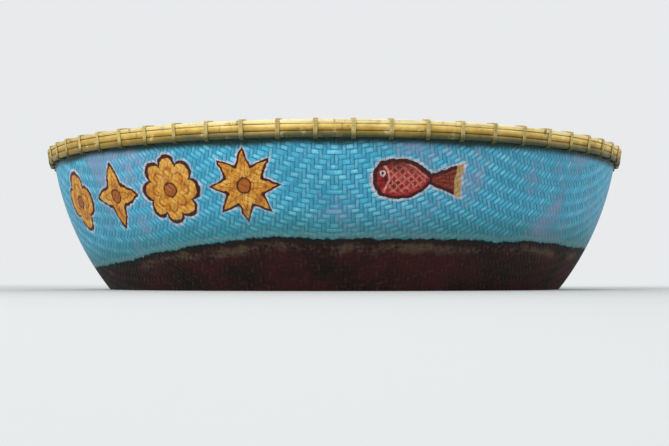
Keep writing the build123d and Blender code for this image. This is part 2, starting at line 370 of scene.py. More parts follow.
# %% Section of the bowl
MAT_TOP_RADIUS = 0.975
FREEBOARD = 0.455
MAT_THICK = 0.008
SECTION = (
    # the arc's radius, which for the last follows from the others, and its lean at the start and end
    (0.95, 8.0, 38.0), (0.50, 38.0, 75.0), (None, 75.0, 90.0),
)


def section_arcs():
    """Rows of start distance, centre radius, centre height, arc radius and start lean."""
    rows, down, point = [], 0.0, (MAT_TOP_RADIUS, FREEBOARD)
    for radius, first, last in SECTION:
        a, b = radians(first), radians(last)
        radius = point[0] / cos(a) if radius is None else radius
        centre = (point[0] - radius * cos(a), point[1] + radius * sin(a))
        rows.append((down, *centre, radius, a))
        down += radius * (b - a)
        point = (centre[0] + radius * cos(b), centre[1] - radius * sin(b))
    return rows, down


ARCS, SKIN_LENGTH = section_arcs()


def on_skin(down, depth):
    """Distance from the axis and height of places down the skin and under it."""
    down = np.asarray(down, float)
    out, high = np.zeros_like(down), np.zeros_like(down)
    for start, centre_out, centre_high, radius, lean in ARCS:
        # The first arc also carries on above the mat's edge
        here = (down >= start) | (start == 0)
        angle = lean + (down - start) / radius
        out = np.where(here, centre_out + (radius - depth) * np.cos(angle), out)
        high = np.where(here, centre_high - (radius - depth) * np.sin(angle), high)
    return out, high


def around(angle, down, depth):
    """Points of the bowl as rows of x, y, z."""
    out, high = on_skin(down, depth)
    return np.stack([out * np.cos(angle), out * np.sin(angle), high], -1)


print("skin from rim to pole", round(SKIN_LENGTH, 4), "m")

# %% [markdown]
# ## The woven mat
# The mat is plaited flat from bamboo strips and then pressed into the bowl, and that is how it is
# made here. Each strip passes over two others and under two, and the steps turn round at the middle,
# so the twill forms nested diamonds. A flat grid has three lines to a strip: one in the groove and
# one on each shoulder. We set each corner's height from what lies on top there, then press the grid.
# The mat is cut in four quarters and a bottom, because one mesh would be too heavy to handle.

# %% Plaiting rules
STRIP = 0.014
GROOVE = 0.0017
# Where the shoulders lie, as a share of the strip's width
SHOULDER = 0.24
# Heights as a share of the groove's depth: of a shoulder, and of a strip's end where another crosses it
SHOULDER_HIGH, DIVING_HIGH = 0.86, 0.18
QUARTER_STRIPS = ceil(SKIN_LENGTH / STRIP)


def lengthways(i, j):
    """True where the strip along the flat mat's Y lies on top, on the outside."""
    return (i + j) % 4 < 2


def strip_lines(strips, per_strip):
    """Places of the grid lines, each with its strip's number and whether it is a groove."""
    steps = (0.0, SHOULDER, 1 - SHOULDER) if per_strip == 3 else (0.0, 0.5)
    number = np.arange(strips * per_strip + 1)
    strip, part = number // per_strip, number % per_strip
    return (strip + np.array(steps)[part]) * STRIP, strip, part == 0


def relief(i, j, groove_i, groove_j, outside):
    """Height, 0 in a groove to 1 on a strip's middle, at the grid's corners."""
    top = lengthways(i, j) == outside
    before_i = lengthways(np.maximum(i - 1, 0), j) == outside
    before_j = lengthways(i, np.maximum(j - 1, 0)) == outside
    across_i = np.where(top == before_i, np.where(top, 0.0, 1.0), DIVING_HIGH)
    across_j = np.where(top == before_j, np.where(top, 1.0, 0.0), DIVING_HIGH)
    high = np.where(groove_i & ~groove_j, across_i, SHOULDER_HIGH)
    high = np.where(groove_j & ~groove_i, across_j, high)
    return np.where(groove_i & groove_j, 0.0, high)


print(QUARTER_STRIPS, "strips from the middle to the edge, each", STRIP * 1000, "mm wide")

# %% [markdown]
# A slab is easier to press than two loose sheets. The grid gets its thickness while it is still flat,
# with Solidify, so its edges are closed for us and the corners of both faces stay in step. Its upper
# face becomes the inside of the bowl and its lower face the outside, as on a mat laid on the ground.

# %% A flat slab, cut to a quarter
# How far a face must reach into the mat to be kept, in metres
TOUCH = 1e-6


def corner_places(piece):
    places = np.empty(len(piece.data.vertices) * 3)
    piece.data.vertices.foreach_get("co", places)
    return places.reshape(-1, 3)


def face_corners(piece):
    """The corners of all faces in one row, where in it each face starts, and how many it has."""
    mesh = piece.data
    corner, first = np.empty(len(mesh.loops), int), np.empty(len(mesh.polygons), int)
    mesh.loops.foreach_get("vertex_index", corner)
    mesh.polygons.foreach_get("loop_start", first)
    return corner, first, np.diff(np.append(first, len(corner)))


def over_faces(piece, values, way=np.add):
    """What the corners' values come to over each face: their sum, or the least or most of them."""
    corner, first, _ = face_corners(piece)
    return way.reduceat(values[corner], first, axis=0)


def face_means(piece, *values):
    """Rows of the means of several values over each face's corners."""
    return over_faces(piece, np.stack(values, 1).astype(float)) / face_corners(piece)[2][:, None]


def grid_lines(grid, count):
    """Which of the grid's lines each corner lies on, across and along."""
    return np.rint(corner_places(grid)[:, :2] + count / 2).astype(int)


def flat_slab(name, strips, per_strip, reach):
    """A grid primitive over one quarter of the flat mat, cut to its reach and made a slab."""
    count = strips * per_strip
    select_only()
    bpy.ops.mesh.primitive_grid_add(x_subdivisions=count, y_subdivisions=count, size=count)
    grid = bpy.context.object
    grid.name = name
    distance = np.hypot(*strip_lines(strips, per_strip)[0][grid_lines(grid, count)].T)
    near, far = over_faces(grid, distance, np.minimum), over_faces(grid, distance, np.maximum)
    select_faces(grid, (near >= reach[1] - TOUCH) | (far <= reach[0] + TOUCH))
    bpy.ops.mesh.delete(type="FACE")
    bpy.ops.object.mode_set(mode="OBJECT")
    thick = grid.modifiers.new("thickness", "SOLIDIFY")
    thick.thickness = 1.0
    thick.offset = -1.0
    bpy.ops.object.modifier_apply(modifier=thick.name)
    return grid


print("slabs are cut flat")

# %% [markdown]
# The finishes need to know more of a place than where it is: which strip it is on and which way that
# runs, how high it stands, and where it was on the flat mat. Each of these is kept as an attribute.
# A map of the whole slab is kept too, which can carry the painted surface.

# %% Attributes and a map for the finishes
# Share of the map's image for the outside, and the margin round each part of it
OUTSIDE_SHARE = 0.7
MAP_EDGE = 0.02


def write_attribute(piece, name, values, domain="POINT"):
    kind = "FLOAT_VECTOR" if values.ndim == 2 else "FLOAT"
    layer = piece.data.attributes.new(name, kind, domain)
    layer.data.foreach_set("vector" if values.ndim == 2 else "value", values.astype(np.float32).ravel())


def texture_map(piece, along, out, outside, rows):
    """Unrolls both faces of the slab into rows of one image, most of it for the outside.

    along and out are shares, 0 to 1, of the way along the slab and across it, for each corner."""
    corner, _, count = face_corners(piece)
    middle = face_means(piece, along, outside)
    row = np.repeat(np.clip((middle[:, 0] * rows).astype(int), 0, rows - 1), count)
    # The slab's cut edges go with the inside
    shown = np.repeat(middle[:, 1] > 0.75, count)
    tall = np.where(shown, OUTSIDE_SHARE, 1 - OUTSIDE_SHARE) / rows
    low = np.where(shown, 1 - OUTSIDE_SHARE, 0.0) + tall * row
    across = MAP_EDGE + (1 - 2 * MAP_EDGE) * (along[corner] * rows - row)
    up = low + tall * (MAP_EDGE + (1 - 2 * MAP_EDGE) * out[corner])
    layer = piece.data.uv_layers.new(name="OFBake")
    layer.data.foreach_set("uv", np.stack([across, up], 1).astype(np.float32).ravel())


def tint_strips(grid, sides, u, v, outside):
    """Notes which way each face's strip runs and the strip's tint, and gives each face its finish."""
    middle = face_means(grid, u, v, outside)
    i, j = np.floor(middle[:, :2] / STRIP).astype(int).T
    face_outside = middle[:, 2] > 0.5
    lengths = lengthways(i, j) == face_outside
    tints = np.random.default_rng(7).random((4, 2, QUARTER_STRIPS + 2))
    quarter = (0 if sides[0] > 0 else 1) + (0 if sides[1] > 0 else 2)
    write_attribute(grid, "strip_runs", lengths.astype(float), "FACE")
    write_attribute(grid, "strip_tint", np.where(lengths, tints[quarter, 0][i], tints[quarter, 1][j]), "FACE")
    grid.data.polygons.foreach_set("material_index", face_outside.astype(np.int32))


print("notes for the finishes are ready")

# %% [markdown]
# Pressing is one change of coordinates. A place's distance from the middle of the flat mat becomes its
# way up the skin, and its direction stays. First each strip is let stray a little to the sides, because
# no plaiting by hand is dead straight.

# %% Press the slabs into the bowl
BOTTOM_REACH = 0.83
STRAY = 0.0015
STRAY_WAVES = (
    # radians to the metre, and radians from one strip to the next
    (23, 2.4), (61, 4.1),
)
# Shifts the waves of the strips that run the other way
OTHER_WAY = 50
# Over this distance from a quarter's edge the straying grows from nought to its full size
STRAY_GROWS = 3 * STRIP
# Figures are laid out on a strip unrolled at this distance from the axis
FIGURE_RADIUS = 0.94


def wander(number, across, along):
    """How far a strip strays sideways: each in its own waves, and not at all at a quarter's edge."""
    free = np.clip(across / STRAY_GROWS, 0, 1)
    waves = sum(np.sin(along * rate + number * shift) for rate, shift in STRAY_WAVES)
    return free * STRAY * waves / len(STRAY_WAVES)


def plait(name, sides, strips, per_strip, reach):
    """One quarter of the mat, or of its bottom: woven flat, given its thickness and pressed."""
    grid = flat_slab(name, strips, per_strip, reach)
    place, strip, groove = strip_lines(strips, per_strip)
    line = grid_lines(grid, strips * per_strip)
    # The slab is one unit thick while it is flat, and its lower face is the outside
    outside = corner_places(grid)[:, 2] < -0.5
    i, j = strip[line].T
    u, v = place[line].T
    high = relief(i, j, *groove[line].T, outside)
    u, v = u + wander(i, u, v), v + wander(j + OTHER_WAY, v, u)
    pressed = np.clip(np.hypot(u, v), *reach)
    depth = np.where(outside, GROOVE * (1 - high), MAT_THICK - GROOVE * (1 - high))
    points = around(np.arctan2(v * sides[1], u * sides[0]), SKIN_LENGTH - pressed, depth)
    grid.data.vertices.foreach_set("co", points.ravel())

    tint_strips(grid, sides, u, v, outside)
    write_attribute(grid, "relief", high)
    write_attribute(grid, "flat_place", np.stack([u * sides[0], v * sides[1], 0 * u], 1))
    from_front = sides[0] * np.arctan2(np.abs(points[:, 0]), -points[:, 1]) * FIGURE_RADIUS
    write_attribute(grid, "painted_place", np.stack([from_front, pressed - SKIN_LENGTH, 0 * u], 1))
    if reach[0]:
        shares = np.arctan2(v, u) / (pi / 2), (pressed - reach[0]) / (reach[1] - reach[0])
    else:
        shares = np.clip(u / reach[1], 0, 1), np.clip(v / reach[1], 0, 1)
    texture_map(grid, *shares, outside, rows=2 if reach[0] else 1)
    if sides[0] * sides[1] < 0:
        grid.data.flip_normals()
    grid.data.update()
    smooth(grid, 58)
    return grid


def quarter_name(start, x, y):
    return start + ("front_" if y < 0 else "back_") + ("left" if x < 0 else "right")


mats = [
    plait(quarter_name("mat_", x, y), (x, y), QUARTER_STRIPS, 3, (BOTTOM_REACH, SKIN_LENGTH))
    for y in (-1, 1) for x in (-1, 1)
]
for mat in mats:
    print(mat.name, len(mat.data.polygons), "faces")

# %% [markdown]
# The bottom is woven in the same way, but it lies below the waterline and under the floor slats, so two
# lines to a strip are enough there. It reaches a little past the quarters' lower edge.

# %% The bottom of the mat
BOTTOM_STRIPS = ceil(BOTTOM_REACH / STRIP) + 1
bottoms = [
    plait(quarter_name("mat_bottom_", x, y), (x, y), BOTTOM_STRIPS, 2, (0, BOTTOM_REACH))
    for x in (-1, 1) for y in (-1, 1)
]
print(len(bottoms), "pieces of the bottom, each", len(bottoms[0].data.polygons), "faces")

# %% [markdown]
# ## Figures painted by hand
# A red fish and a row of four golden rosettes stand out from the blue, each with a dark outline and a
# thin pale edge round that. A painted figure is easiest to describe by distance: below nought inside
# it, nought on its edge. Then the outline, the pale edge and an inner line are only bands of distance.
# The place is first pushed about a little by noise, so the edges waver as brushwork does.

# %% Distances of the rosettes and the fish
ROSETTES = (
    # degrees from the front, distance down the skin, radius, petals, how deep the notches are, pointed
    (-58.5, 0.184, 0.098, 4, 0.34, False),
    (-44.0, 0.180, 0.104, 4, 0.50, True),
    (-30.0, 0.172, 0.103, 8, 0.24, False),
    (-15.5, 0.168, 0.108, 8, 0.40, True),
)
# Below 1, so that round petals are blunter than a cosine
PETAL_BLUNT = 0.6
# Turns a distance along the rays into about the distance to the nearest edge
SLOPE = 0.85

FISH_MIDDLE = (radians(14.5) * FIGURE_RADIUS, -0.150)
# The two circles whose overlap is the body, and the ellipse that rounds its head
CIRCLE, CIRCLE_MIDDLE, CIRCLE_OFF = 0.1252, -0.062, 0.0682
HEAD_MIDDLE, HEAD_RADII = (-0.040, 0.0), (0.094, 0.075)
# The tail along the fish: where it starts, where its flare is measured and where it ends
TAIL_START, TAIL_ROOT, TAIL_END = 0.028, 0.034, 0.124
# Half its height at the root, how that grows, its most, and how deep the fork cuts
ROOT_HALF, FLARE, TAIL_HALF, FORK = 0.016, 0.37, 0.047, -0.10


def rosette(paint, place, degrees_round, down, radius, petals, notch, pointed):
    """Distance outside a flower or star, and distance from its middle."""
    local = paint.from_middle(place, (radians(degrees_round) * FIGURE_RADIUS, -down))
    x, y, _ = paint.split(local)
    half_turns = paint.product(paint.math("ARCTAN2", x, y), petals / 2)
    if pointed:
        swing = paint.math("SUBTRACT", 1.0, paint.math("ABSOLUTE", paint.math("SINE", half_turns)))
    else:
        swing = paint.math("POWER", paint.math("ABSOLUTE", paint.math("COSINE", half_turns)), PETAL_BLUNT)
    edge = paint.total((swing, radius * notch), radius * (1 - notch))
    from_hub = paint.vector("LENGTH", local)
    return paint.product(paint.math("SUBTRACT", from_hub, edge), SLOPE), from_hub


def fish(paint, place):
    """Distances outside the body and the tail, how far past the tail's end, and the place on the fish."""
    local = paint.from_middle(place, FISH_MIDDLE)
    x, y, _ = paint.split(local)
    circles = [paint.ellipse(local, (CIRCLE_MIDDLE, side * CIRCLE_OFF), (CIRCLE, CIRCLE)) for side in (-1, 1)]
    body = paint.most(*circles, paint.ellipse(local, HEAD_MIDDLE, HEAD_RADII))
    height = paint.math("ABSOLUTE", y)
    flare = paint.total((paint.math("SUBTRACT", x, TAIL_ROOT), FLARE), ROOT_HALF)
    sides = paint.math("SUBTRACT", height, paint.least(flare, TAIL_HALF))
    past_end = paint.total(x, -TAIL_END, (height, FORK))
    tail = paint.most(sides, paint.math("SUBTRACT", TAIL_START, x), past_end)
    return body, tail, past_end, local


print(len(ROSETTES), "rosettes and a fish, laid out on the unrolled side")

# %% [markdown]
# With the distances in hand, each figure is filled in layers, as a painter would: a mottled ground
# colour first, then the lines and the shade on it, and the outline last.

# %% Colours of the figures
GOLD_DEEP, GOLD, GOLD_PALE = srgb(166, 92, 30), srgb(214, 150, 50), srgb(236, 192, 104)
GOLD_LINE, OUTLINE, HALO = srgb(150, 70, 30), srgb(62, 24, 24), srgb(206, 196, 204)
RED_DEEP, RED, RED_PALE = srgb(90, 16, 20), srgb(156, 34, 34), srgb(184, 76, 66)
SCALE_PINK, BACK_BROWN = srgb(214, 142, 126), srgb(84, 44, 34)
TAIL_RED, TAIL_EDGE = srgb(130, 56, 36), srgb(186, 150, 98)
HUB = 0.021
# How far inside a rosette's edge its inner line runs
INNER_LINE = -0.034
# Scales to the metre along and across the fish, and the middle and radius of each scale's arc
SCALES = (42.0, 48.0, 1.0)
ARC_MIDDLE, ARC_RADIUS = (0.32, 0.5, 0.0), 0.42
GILL_MIDDLE, GILL_RADII = (-0.120, 0.0), (0.032, 0.042)
EYE_MIDDLE, EYE_RADII = (-0.106, 0.014), (0.008, 0.008)
TAIL_RAYS = 38.0
# The pale band along the tail's end, from where it starts to where it is whole
TAIL_BAND = (-0.024, -0.020)


def rosette_gold(paint, mottle, flower, hub):
    return paint.layers(
        paint.ramp(mottle, (0.30, GOLD_DEEP), (0.50, GOLD), (0.72, GOLD_PALE)),
        (paint.line(flower, INNER_LINE, 0.0015, 0.0042, 0.75), GOLD_LINE),
        (paint.fade(hub, HUB - 0.001, HUB + 0.001, 1.0, 0.0), GOLD_DEEP),
        (paint.line(hub, HUB, 0.0015, 0.0040, 0.9), OUTLINE),
    )


def scale_rows(paint, place, shift):
    """Arcs that open backwards, one in each cell of a lattice shifted by a share of its cell."""
    cells = paint.vector("ADD", paint.stretched(SCALES, place), (shift, shift, 0.0))
    inside = paint.vector("SUBTRACT", paint.vector("FRACTION", cells), ARC_MIDDLE)
    ring = paint.line(paint.vector("LENGTH", inside), ARC_RADIUS, 0.06, 0.14)
    return paint.product(ring, paint.fade(paint.split(inside)[0], -0.05, 0.05))


def fish_red(paint, mottle, body, past_end, on_fish):
    x, y, _ = paint.split(on_fish)
    scales = paint.most(*[scale_rows(paint, on_fish, shift) for shift in (0.0, 0.5)])
    behind_gill, inside = paint.fade(x, -0.090, -0.083), paint.fade(body, -0.022, -0.014, 0.55, 0.0)
    back = paint.total(y, paint.swing(mottle, 0.03))
    stroke = paint.line(body, -0.0150, 0.0012, 0.0034, 0.8)
    behind_head, above_middle = paint.fade(x, -0.055, -0.02), paint.fade(y, 0.0, 0.01)
    gill = paint.line(paint.ellipse(on_fish, GILL_MIDDLE, GILL_RADII), 0.0, 0.002, 0.0045, 0.9)
    eye = paint.ellipse(on_fish, EYE_MIDDLE, EYE_RADII)
    direction = paint.math("ARCTAN2", y, paint.math("SUBTRACT", x, 0.005))
    rays = paint.fade(paint.math("SINE", paint.product(direction, TAIL_RAYS)), 0.1, 0.7, 0.0, 0.6)
    return paint.layers(
        paint.ramp(mottle, (0.32, RED_DEEP), (0.48, RED), (0.72, RED_PALE)),
        (paint.product(scales, behind_gill, inside), SCALE_PINK),
        (paint.fade(back, 0.008, 0.040, 0.0, 0.62), BACK_BROWN),
        (paint.product(stroke, behind_head, above_middle), SCALE_PINK),
        (paint.product(gill, paint.fade(x, -0.11, -0.10)), SCALE_PINK),
        (paint.fade(eye, -0.001, 0.001, 1.0, 0.0), HALO),
        (paint.fade(eye, -0.0050, -0.0035, 1.0, 0.0), OUTLINE),
        (paint.fade(x, TAIL_ROOT, TAIL_ROOT + 0.010), paint.mix(rays, TAIL_RED, RED_DEEP)),
        (paint.fade(past_end, *TAIL_BAND), TAIL_EDGE),
    )


print("the figures' colours are mixed")

# %% [markdown]
# Now the figures are put together. Gold lies to the left and red to the right, and the outline and the
# pale edge go over both. Last comes the weave: the strips that run one way get painted shade, a little
# deeper, so that the twill's diagonals show, and the grooves get painted shade too.

# %% Figures on the weave
GROOVE_SHADE, UNSHADED = (0.42, 0.40, 0.42, 1), (1, 1, 1, 1)
# The noise that makes the brush waver, and how far it carries a line
BRUSH_SCALE, BRUSH_SHIFT = 42.0, (0.014, 0.014, 0.0)
# The rosettes lie to the left of this place, measured from the fish, and the fish to the right
BETWEEN = (-0.25, -0.24)
FIGURE_RUNS_SHADE = 0.12


def figures(paint, relief):
    """The figures' colour, and how far a place lies outside the nearest of them."""
    noise = paint.add("TexNoise", {"Vector": paint.here, "Scale": BRUSH_SCALE, "Detail": 3.0})
    drift = paint.vector("SUBTRACT", noise.outputs["Color"], (0.5, 0.5, 0.5))
    drift = paint.vector("MULTIPLY", drift, BRUSH_SHIFT)
    place = paint.vector("ADD", paint.attribute("painted_place", vector=True), drift)
    edges, hubs = zip(*[rosette(paint, place, *row) for row in ROSETTES])
    flower, hub = paint.least(*edges), paint.least(*hubs)
    body, tail, past_end, on_fish = fish(paint, place)
    edge = paint.least(flower, body, tail)

    mottle = paint.noise(34.0, 5.0, 0.65)
    gold = rosette_gold(paint, mottle, flower, hub)
    red = fish_red(paint, mottle, body, past_end, on_fish)
    on_right = paint.fade(paint.split(on_fish)[0], *BETWEEN)
    # The tail's pale band has no outline behind it
    open_end = paint.product(paint.fade(past_end, *TAIL_BAND), on_right)
    outline = paint.product(paint.fade(edge, -0.0112, -0.0090), paint.math("SUBTRACT", 1.0, open_end))
    colour = paint.layers(
        paint.mix(on_right, gold, red),
        (outline, OUTLINE),
        (paint.fade(edge, -0.0010, 0.0008), HALO),
        # Painted shade on the strips that run one way
        (paint.product(paint.attribute("strip_runs"), FIGURE_RUNS_SHADE), OUTLINE),
    )
    # Painted shade: the figures darken in the grooves
    painted_groove_shade = paint.ramp(relief, (0.0, GROOVE_SHADE), (0.40, UNSHADED))
    return paint.mix(1.0, colour, painted_groove_shade, "MULTIPLY"), edge


print("figures sink into the weave")

# %% [markdown]
# ## Oil paint over the weave
# The outside carries thick blue oil paint, and round the waterline the mat is tarred. The tar's edge was
# brushed by eye. It is highest at the front and dips to the left, and it waves and is ragged, because
# tar creeps up the weave. Just under the edge the tar is nearly black, and below that a broken band of
# mud has dried.

# %% The tar and its edge
TAR, TAR_RED, TAR_WORN_AND_HIGHLIGHT = srgb(12, 6, 4), srgb(54, 13, 12), srgb(72, 42, 34)
TAR_EDGE, MUD = srgb(8, 18, 14), srgb(96, 88, 70)
TAR_LINE = 0.129
# How the edge leans from front to back, and where on X the dip on the left is whole and where it ends
TAR_LEAN = -0.022
TAR_DIP, DIP_DEPTH = (-0.85, -0.20), -0.066


def above_tar(paint):
    """How far a place lies above the tar's edge."""
    waves, rags = paint.swing(paint.noise(5.0, 3.0), 0.034), paint.swing(paint.noise(60.0, 4.0), 0.016)
    dip = paint.fade(paint.x, *TAR_DIP, DIP_DEPTH, 0.0)
    return paint.math("SUBTRACT", paint.z, paint.total(TAR_LINE, waves, rags, (paint.y, TAR_LEAN), dip))


def tarred(paint, above, wear_and_highlight, smears):
    depth = paint.total(above, paint.swing(paint.noise(8.0, 6.0, 0.7), 0.06))
    muddy = paint.product(paint.line(depth, -0.026, 0.002, 0.020, 0.5), paint.fade(smears, 0.46, 0.60))
    return paint.layers(
        TAR,
        (paint.fade(smears, 0.38, 0.62), TAR_RED),
        # Paler crowns: partly wear, partly painted highlight
        (paint.fade(wear_and_highlight, 0.66, 1.0, 0.0, 0.6), TAR_WORN_AND_HIGHLIGHT),
        (muddy, MUD),
        (paint.fade(depth, -0.022, -0.008, 0.0, 0.75), TAR_EDGE),
    )


print("the tar's edge stands", TAR_LINE, "m above the waterline, more or less")

# %% [markdown]
# Now the whole outside, from the ground up. The blue is darker in the grooves, which is painted shade,
# and paler on the crowns, which is partly wear and partly painted highlight. It is stained in patches,
# and the strips that run one way get painted shade. The figures lie on it, and their thin pale edge has
# chipped most. Then come painted shadow and grime under the rim, mildew low down, a pale line along the
# tar, and the tar itself. The fibres of the strips still show through as relief.

# %% The outside in layers
BLUE_SHADE, BLUE, BLUE_WORN_AND_HIGHLIGHT = srgb(26, 100, 132), srgb(72, 172, 204), srgb(140, 212, 228)
BLUE_LOW, STAIN, MILDEW = srgb(46, 126, 152), srgb(146, 148, 180), srgb(48, 104, 96)
RIM_SHADOW_AND_GRIME, LINE_PALE = srgb(16, 42, 26), srgb(104, 140, 142)
RUNS_SHADE = 0.34
# Fibres to the metre across a strip and along it
FIBRES_ACROSS, FIBRES_ALONG = 520, 26


def grain(paint):
    """Fibres along each strip, whichever way it runs."""
    flat = paint.attribute("flat_place", vector=True)
    along_v = paint.fibres((FIBRES_ACROSS, FIBRES_ALONG, 1), 3.0, source=flat)
    along_u = paint.fibres((FIBRES_ALONG, FIBRES_ACROSS, 1), 3.0, source=flat)
    return paint.blend(paint.attribute("strip_runs"), along_u, along_v)


def hull_paint():
    paint = Finish("hull_paint", 0.42)
    paint.shader.inputs["Specular IOR Level"].default_value = 0.22
    relief, tint = paint.attribute("relief"), paint.attribute("strip_tint")
    patches, broad, specks = paint.noise(7.0, 5.0), paint.noise(2.2, 3.0), paint.noise(95.0, 5.0, 0.65)
    # Paler crowns: partly wear, partly painted highlight
    wear_and_highlight = paint.total((relief, 0.5), (specks, 0.6), paint.swing(tint, 0.22))
    blotches = paint.total((patches, 0.5), (broad, 0.5), paint.swing(specks, 0.16), paint.swing(tint, 0.05))

    drawn, edge = figures(paint, relief)
    on_figure = paint.fade(edge, 0.0045, 0.0085, 1.0, 0.0)
    chipped = paint.total((specks, 0.55), (patches, 0.45))
    thin = paint.blend(paint.fade(edge, -0.001, 0.001), 1.0, paint.fade(chipped, 0.42, 0.56, 1.0, 0.35))
    kept = paint.fade(chipped, 0.60, 0.68, 1.0, 0.25)

    up = paint.split(paint.attribute("painted_place", vector=True))[1]
    # Painted shadow and grime: a dark band just under the rim's hoops
    rim_shadow_and_grime = paint.total((up, -1.0), paint.swing(patches, 0.03))
    above = above_tar(paint)
    covered = paint.fade(above, -0.002, 0.002, 1.0, 0.0)
    colour = paint.layers(
        # Painted shade: the blue darkens towards the grooves
        paint.ramp(relief, (0.0, BLUE_SHADE), (0.45, BLUE)),
        (paint.fade(wear_and_highlight, 0.62, 0.94, 0.0, 0.85), BLUE_WORN_AND_HIGHLIGHT),
        # Painted shade on the strips that run one way, so that the diagonals show
        (paint.product(paint.attribute("strip_runs"), RUNS_SHADE), BLUE_SHADE),
        (paint.fade(patches, 0.42, 0.7, 0.0, 0.5), BLUE_LOW),
        (paint.fade(blotches, 0.52, 0.66, 0.0, 0.6), STAIN),
        (paint.product(on_figure, thin, kept), drawn),
        (paint.fade(rim_shadow_and_grime, 0.044, 0.064, 0.95, 0.0), RIM_SHADOW_AND_GRIME),
        (paint.fade(paint.total(above, (patches, 0.09)), 0.03, 0.15, 0.72, 0.0), MILDEW),
        (paint.line(above, 0.010, 0.003, 0.008, 0.5), LINE_PALE),
        (covered, tarred(paint, above, wear_and_highlight, paint.total((patches, 0.65), (specks, 0.35)))),
    )
    roughness = paint.blend(covered, paint.fade(specks, 0.3, 0.7, 0.34, 0.52), 0.62)
    return paint.finished(colour, roughness, (paint.total(grain(paint), (specks, 0.6)), 0.0007, 0.55))


hull_finish = hull_paint()
print("hull paint has", len(hull_finish.node_tree.nodes), "nodes")

# %% [markdown]
# Inside, the mat is brushed with resin oil, which leaves it a dark honey brown. The strips keep their
# own tints there, and the grooves are darker, a painted shade.

# %% Oiled weave on the inside
OIL_DARK, OIL_BROWN, OIL_LIGHT = srgb(44, 27, 15), srgb(108, 72, 38), srgb(158, 116, 66)


def inside_oil():
    oil = Finish("inside_oil", 0.6)
    fibres, patches = grain(oil), oil.noise(5.0, 5.0)
    shade = oil.total((oil.attribute("strip_tint"), 0.45), (fibres, 0.35), (patches, 0.3))
    brown = oil.ramp(shade, (0.25, OIL_DARK), (0.55, OIL_BROWN), (0.9, OIL_LIGHT))
    # Painted shade: darker in the grooves
    groove = oil.fade(oil.attribute("relief"), 0.0, 0.7, 0.85, 0.0)
    roughness = oil.fade(patches, 0.3, 0.7, 0.5, 0.75)
    return oil.finished(oil.mix(groove, brown, OIL_DARK), roughness, (fibres, 0.0007, 0.7))


inside_finish = inside_oil()
for mat in (*mats, *bottoms):
    mat.data.materials.append(inside_finish)
    mat.data.materials.append(hull_finish)
    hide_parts("hull_mat")
    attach(mat, "root")
print("the mat's", len(mats) + len(bottoms), "pieces are painted")

# %% [markdown]
# ## Split-bamboo hoops
# The hoops are laths split from long culms and bent while green. They keep the culm's knuckles and are
# never quite straight. A torus primitive has the right closed form, so each hoop starts as one, and
# its corners are moved: round the section they go to a rounded rectangle, and along the ring three
# lines draw together at each knuckle, which swells a little.

# %% A lath bent into a ring
HOOP_SEGMENTS = 300
HOOP_SIDES = 12
# Below 1, the section of a torus turns from round towards a rectangle
SQUARENESS = 0.42
# Knuckles in metres: half the length of one, how proud it stands, and how far apart they are
KNUCKLE_HALF, KNUCKLE_PROUD, KNUCKLE_GAP = 0.0055, 0.0013, 0.31
# How much of that each of a knuckle's three lines swells
KNUCKLE_SWELL = ((-1, 0.35), (0, 1.0), (1, 0.45))
# The shortest gap as a share of the usual one, and how much longer than that a gap may be
GAP_LEAST, GAP_SPREAD = 0.85, 0.3
# In radians, how far along the first knuckle may lie, and how near the ring's end the last may come
FIRST_KNUCKLE, LAST_KNUCKLE = 0.3, 0.1
WOBBLE = 0.00022
# How many waves a hoop wobbles in at once, and how often the slowest swings round the ring
WAVES, SLOWEST = 6, 5


def squared(value):
    return np.sign(value) * np.abs(value) ** SQUARENESS


def culm(chance):
    """The angle of each line along a hoop, and how much the hoop swells and wobbles there."""
    step = 2 * pi / HOOP_SEGMENTS
    angle, swell = np.arange(HOOP_SEGMENTS) * step, np.zeros(HOOP_SEGMENTS)
    at = chance.random() * FIRST_KNUCKLE
    while at < 2 * pi - LAST_KNUCKLE:
        nearest = int(round(at / step)) % HOOP_SEGMENTS
        for offset, rise in KNUCKLE_SWELL:
            line = (nearest + offset) % HOOP_SEGMENTS
            angle[line] = at + offset * KNUCKLE_HALF / MAT_TOP_RADIUS
            swell[line] = rise
        at += KNUCKLE_GAP / MAT_TOP_RADIUS * (GAP_LEAST + GAP_SPREAD * chance.random())
    starts = chance.random(WAVES) * 2 * pi
    return angle, swell, sum(np.sin((k + SLOWEST) * angle + starts[k]) for k in range(WAVES)) * WOBBLE


def hoop(name, depths, downs, seed):
    """A bamboo lath bent into a ring between two depths and two distances down the skin."""
    select_only()
    bpy.ops.mesh.primitive_torus_add(
        major_segments=HOOP_SEGMENTS, minor_segments=HOOP_SIDES, major_radius=1.0, minor_radius=0.25
    )
    ring = bpy.context.object
    ring.name = name
    x, y, z = corner_places(ring).T
    line = np.rint(np.arctan2(y, x) % (2 * pi) / (2 * pi / HOOP_SEGMENTS)).astype(int) % HOOP_SEGMENTS
    section = np.arctan2(z, np.hypot(x, y) - 1)
    across, upright = squared(np.cos(section)), squared(np.sin(section))
    angle, swell, wobble = culm(np.random.default_rng(seed))
    middle_depth, half_depth = sum(depths) / 2, (depths[1] - depths[0]) / 2
    middle_down, half_down = sum(downs) / 2, (downs[1] - downs[0]) / 2
    # The face against the mat stays where it is, and only the other faces swell and wander
    outwards = np.sign(middle_depth - MAT_THICK / 2)
    free = across * outwards > 0
    swollen = swell[line] * KNUCKLE_PROUD + wobble[line]
    depth = middle_depth + across * half_depth + free * outwards * swollen
    down = middle_down - upright * half_down
    ring.data.vertices.foreach_set("co", around(angle[line], down, depth).ravel())
    write_attribute(ring, "knuckle", swell[line])
    write_attribute(ring, "run", np.stack([angle[line] * MAT_TOP_RADIUS, down, depth], 1))
    face_outwards(ring)
    smooth(ring, 50)
    return ring


print("a hoop has a knuckle about every", KNUCKLE_GAP, "m")

# %% [markdown]
# Two hoops clamp the mat's edge on the outside and two on the inside, and a flat one caps the cut edge.
# Each has a seed of its own, so that no two have their knuckles at the same places.

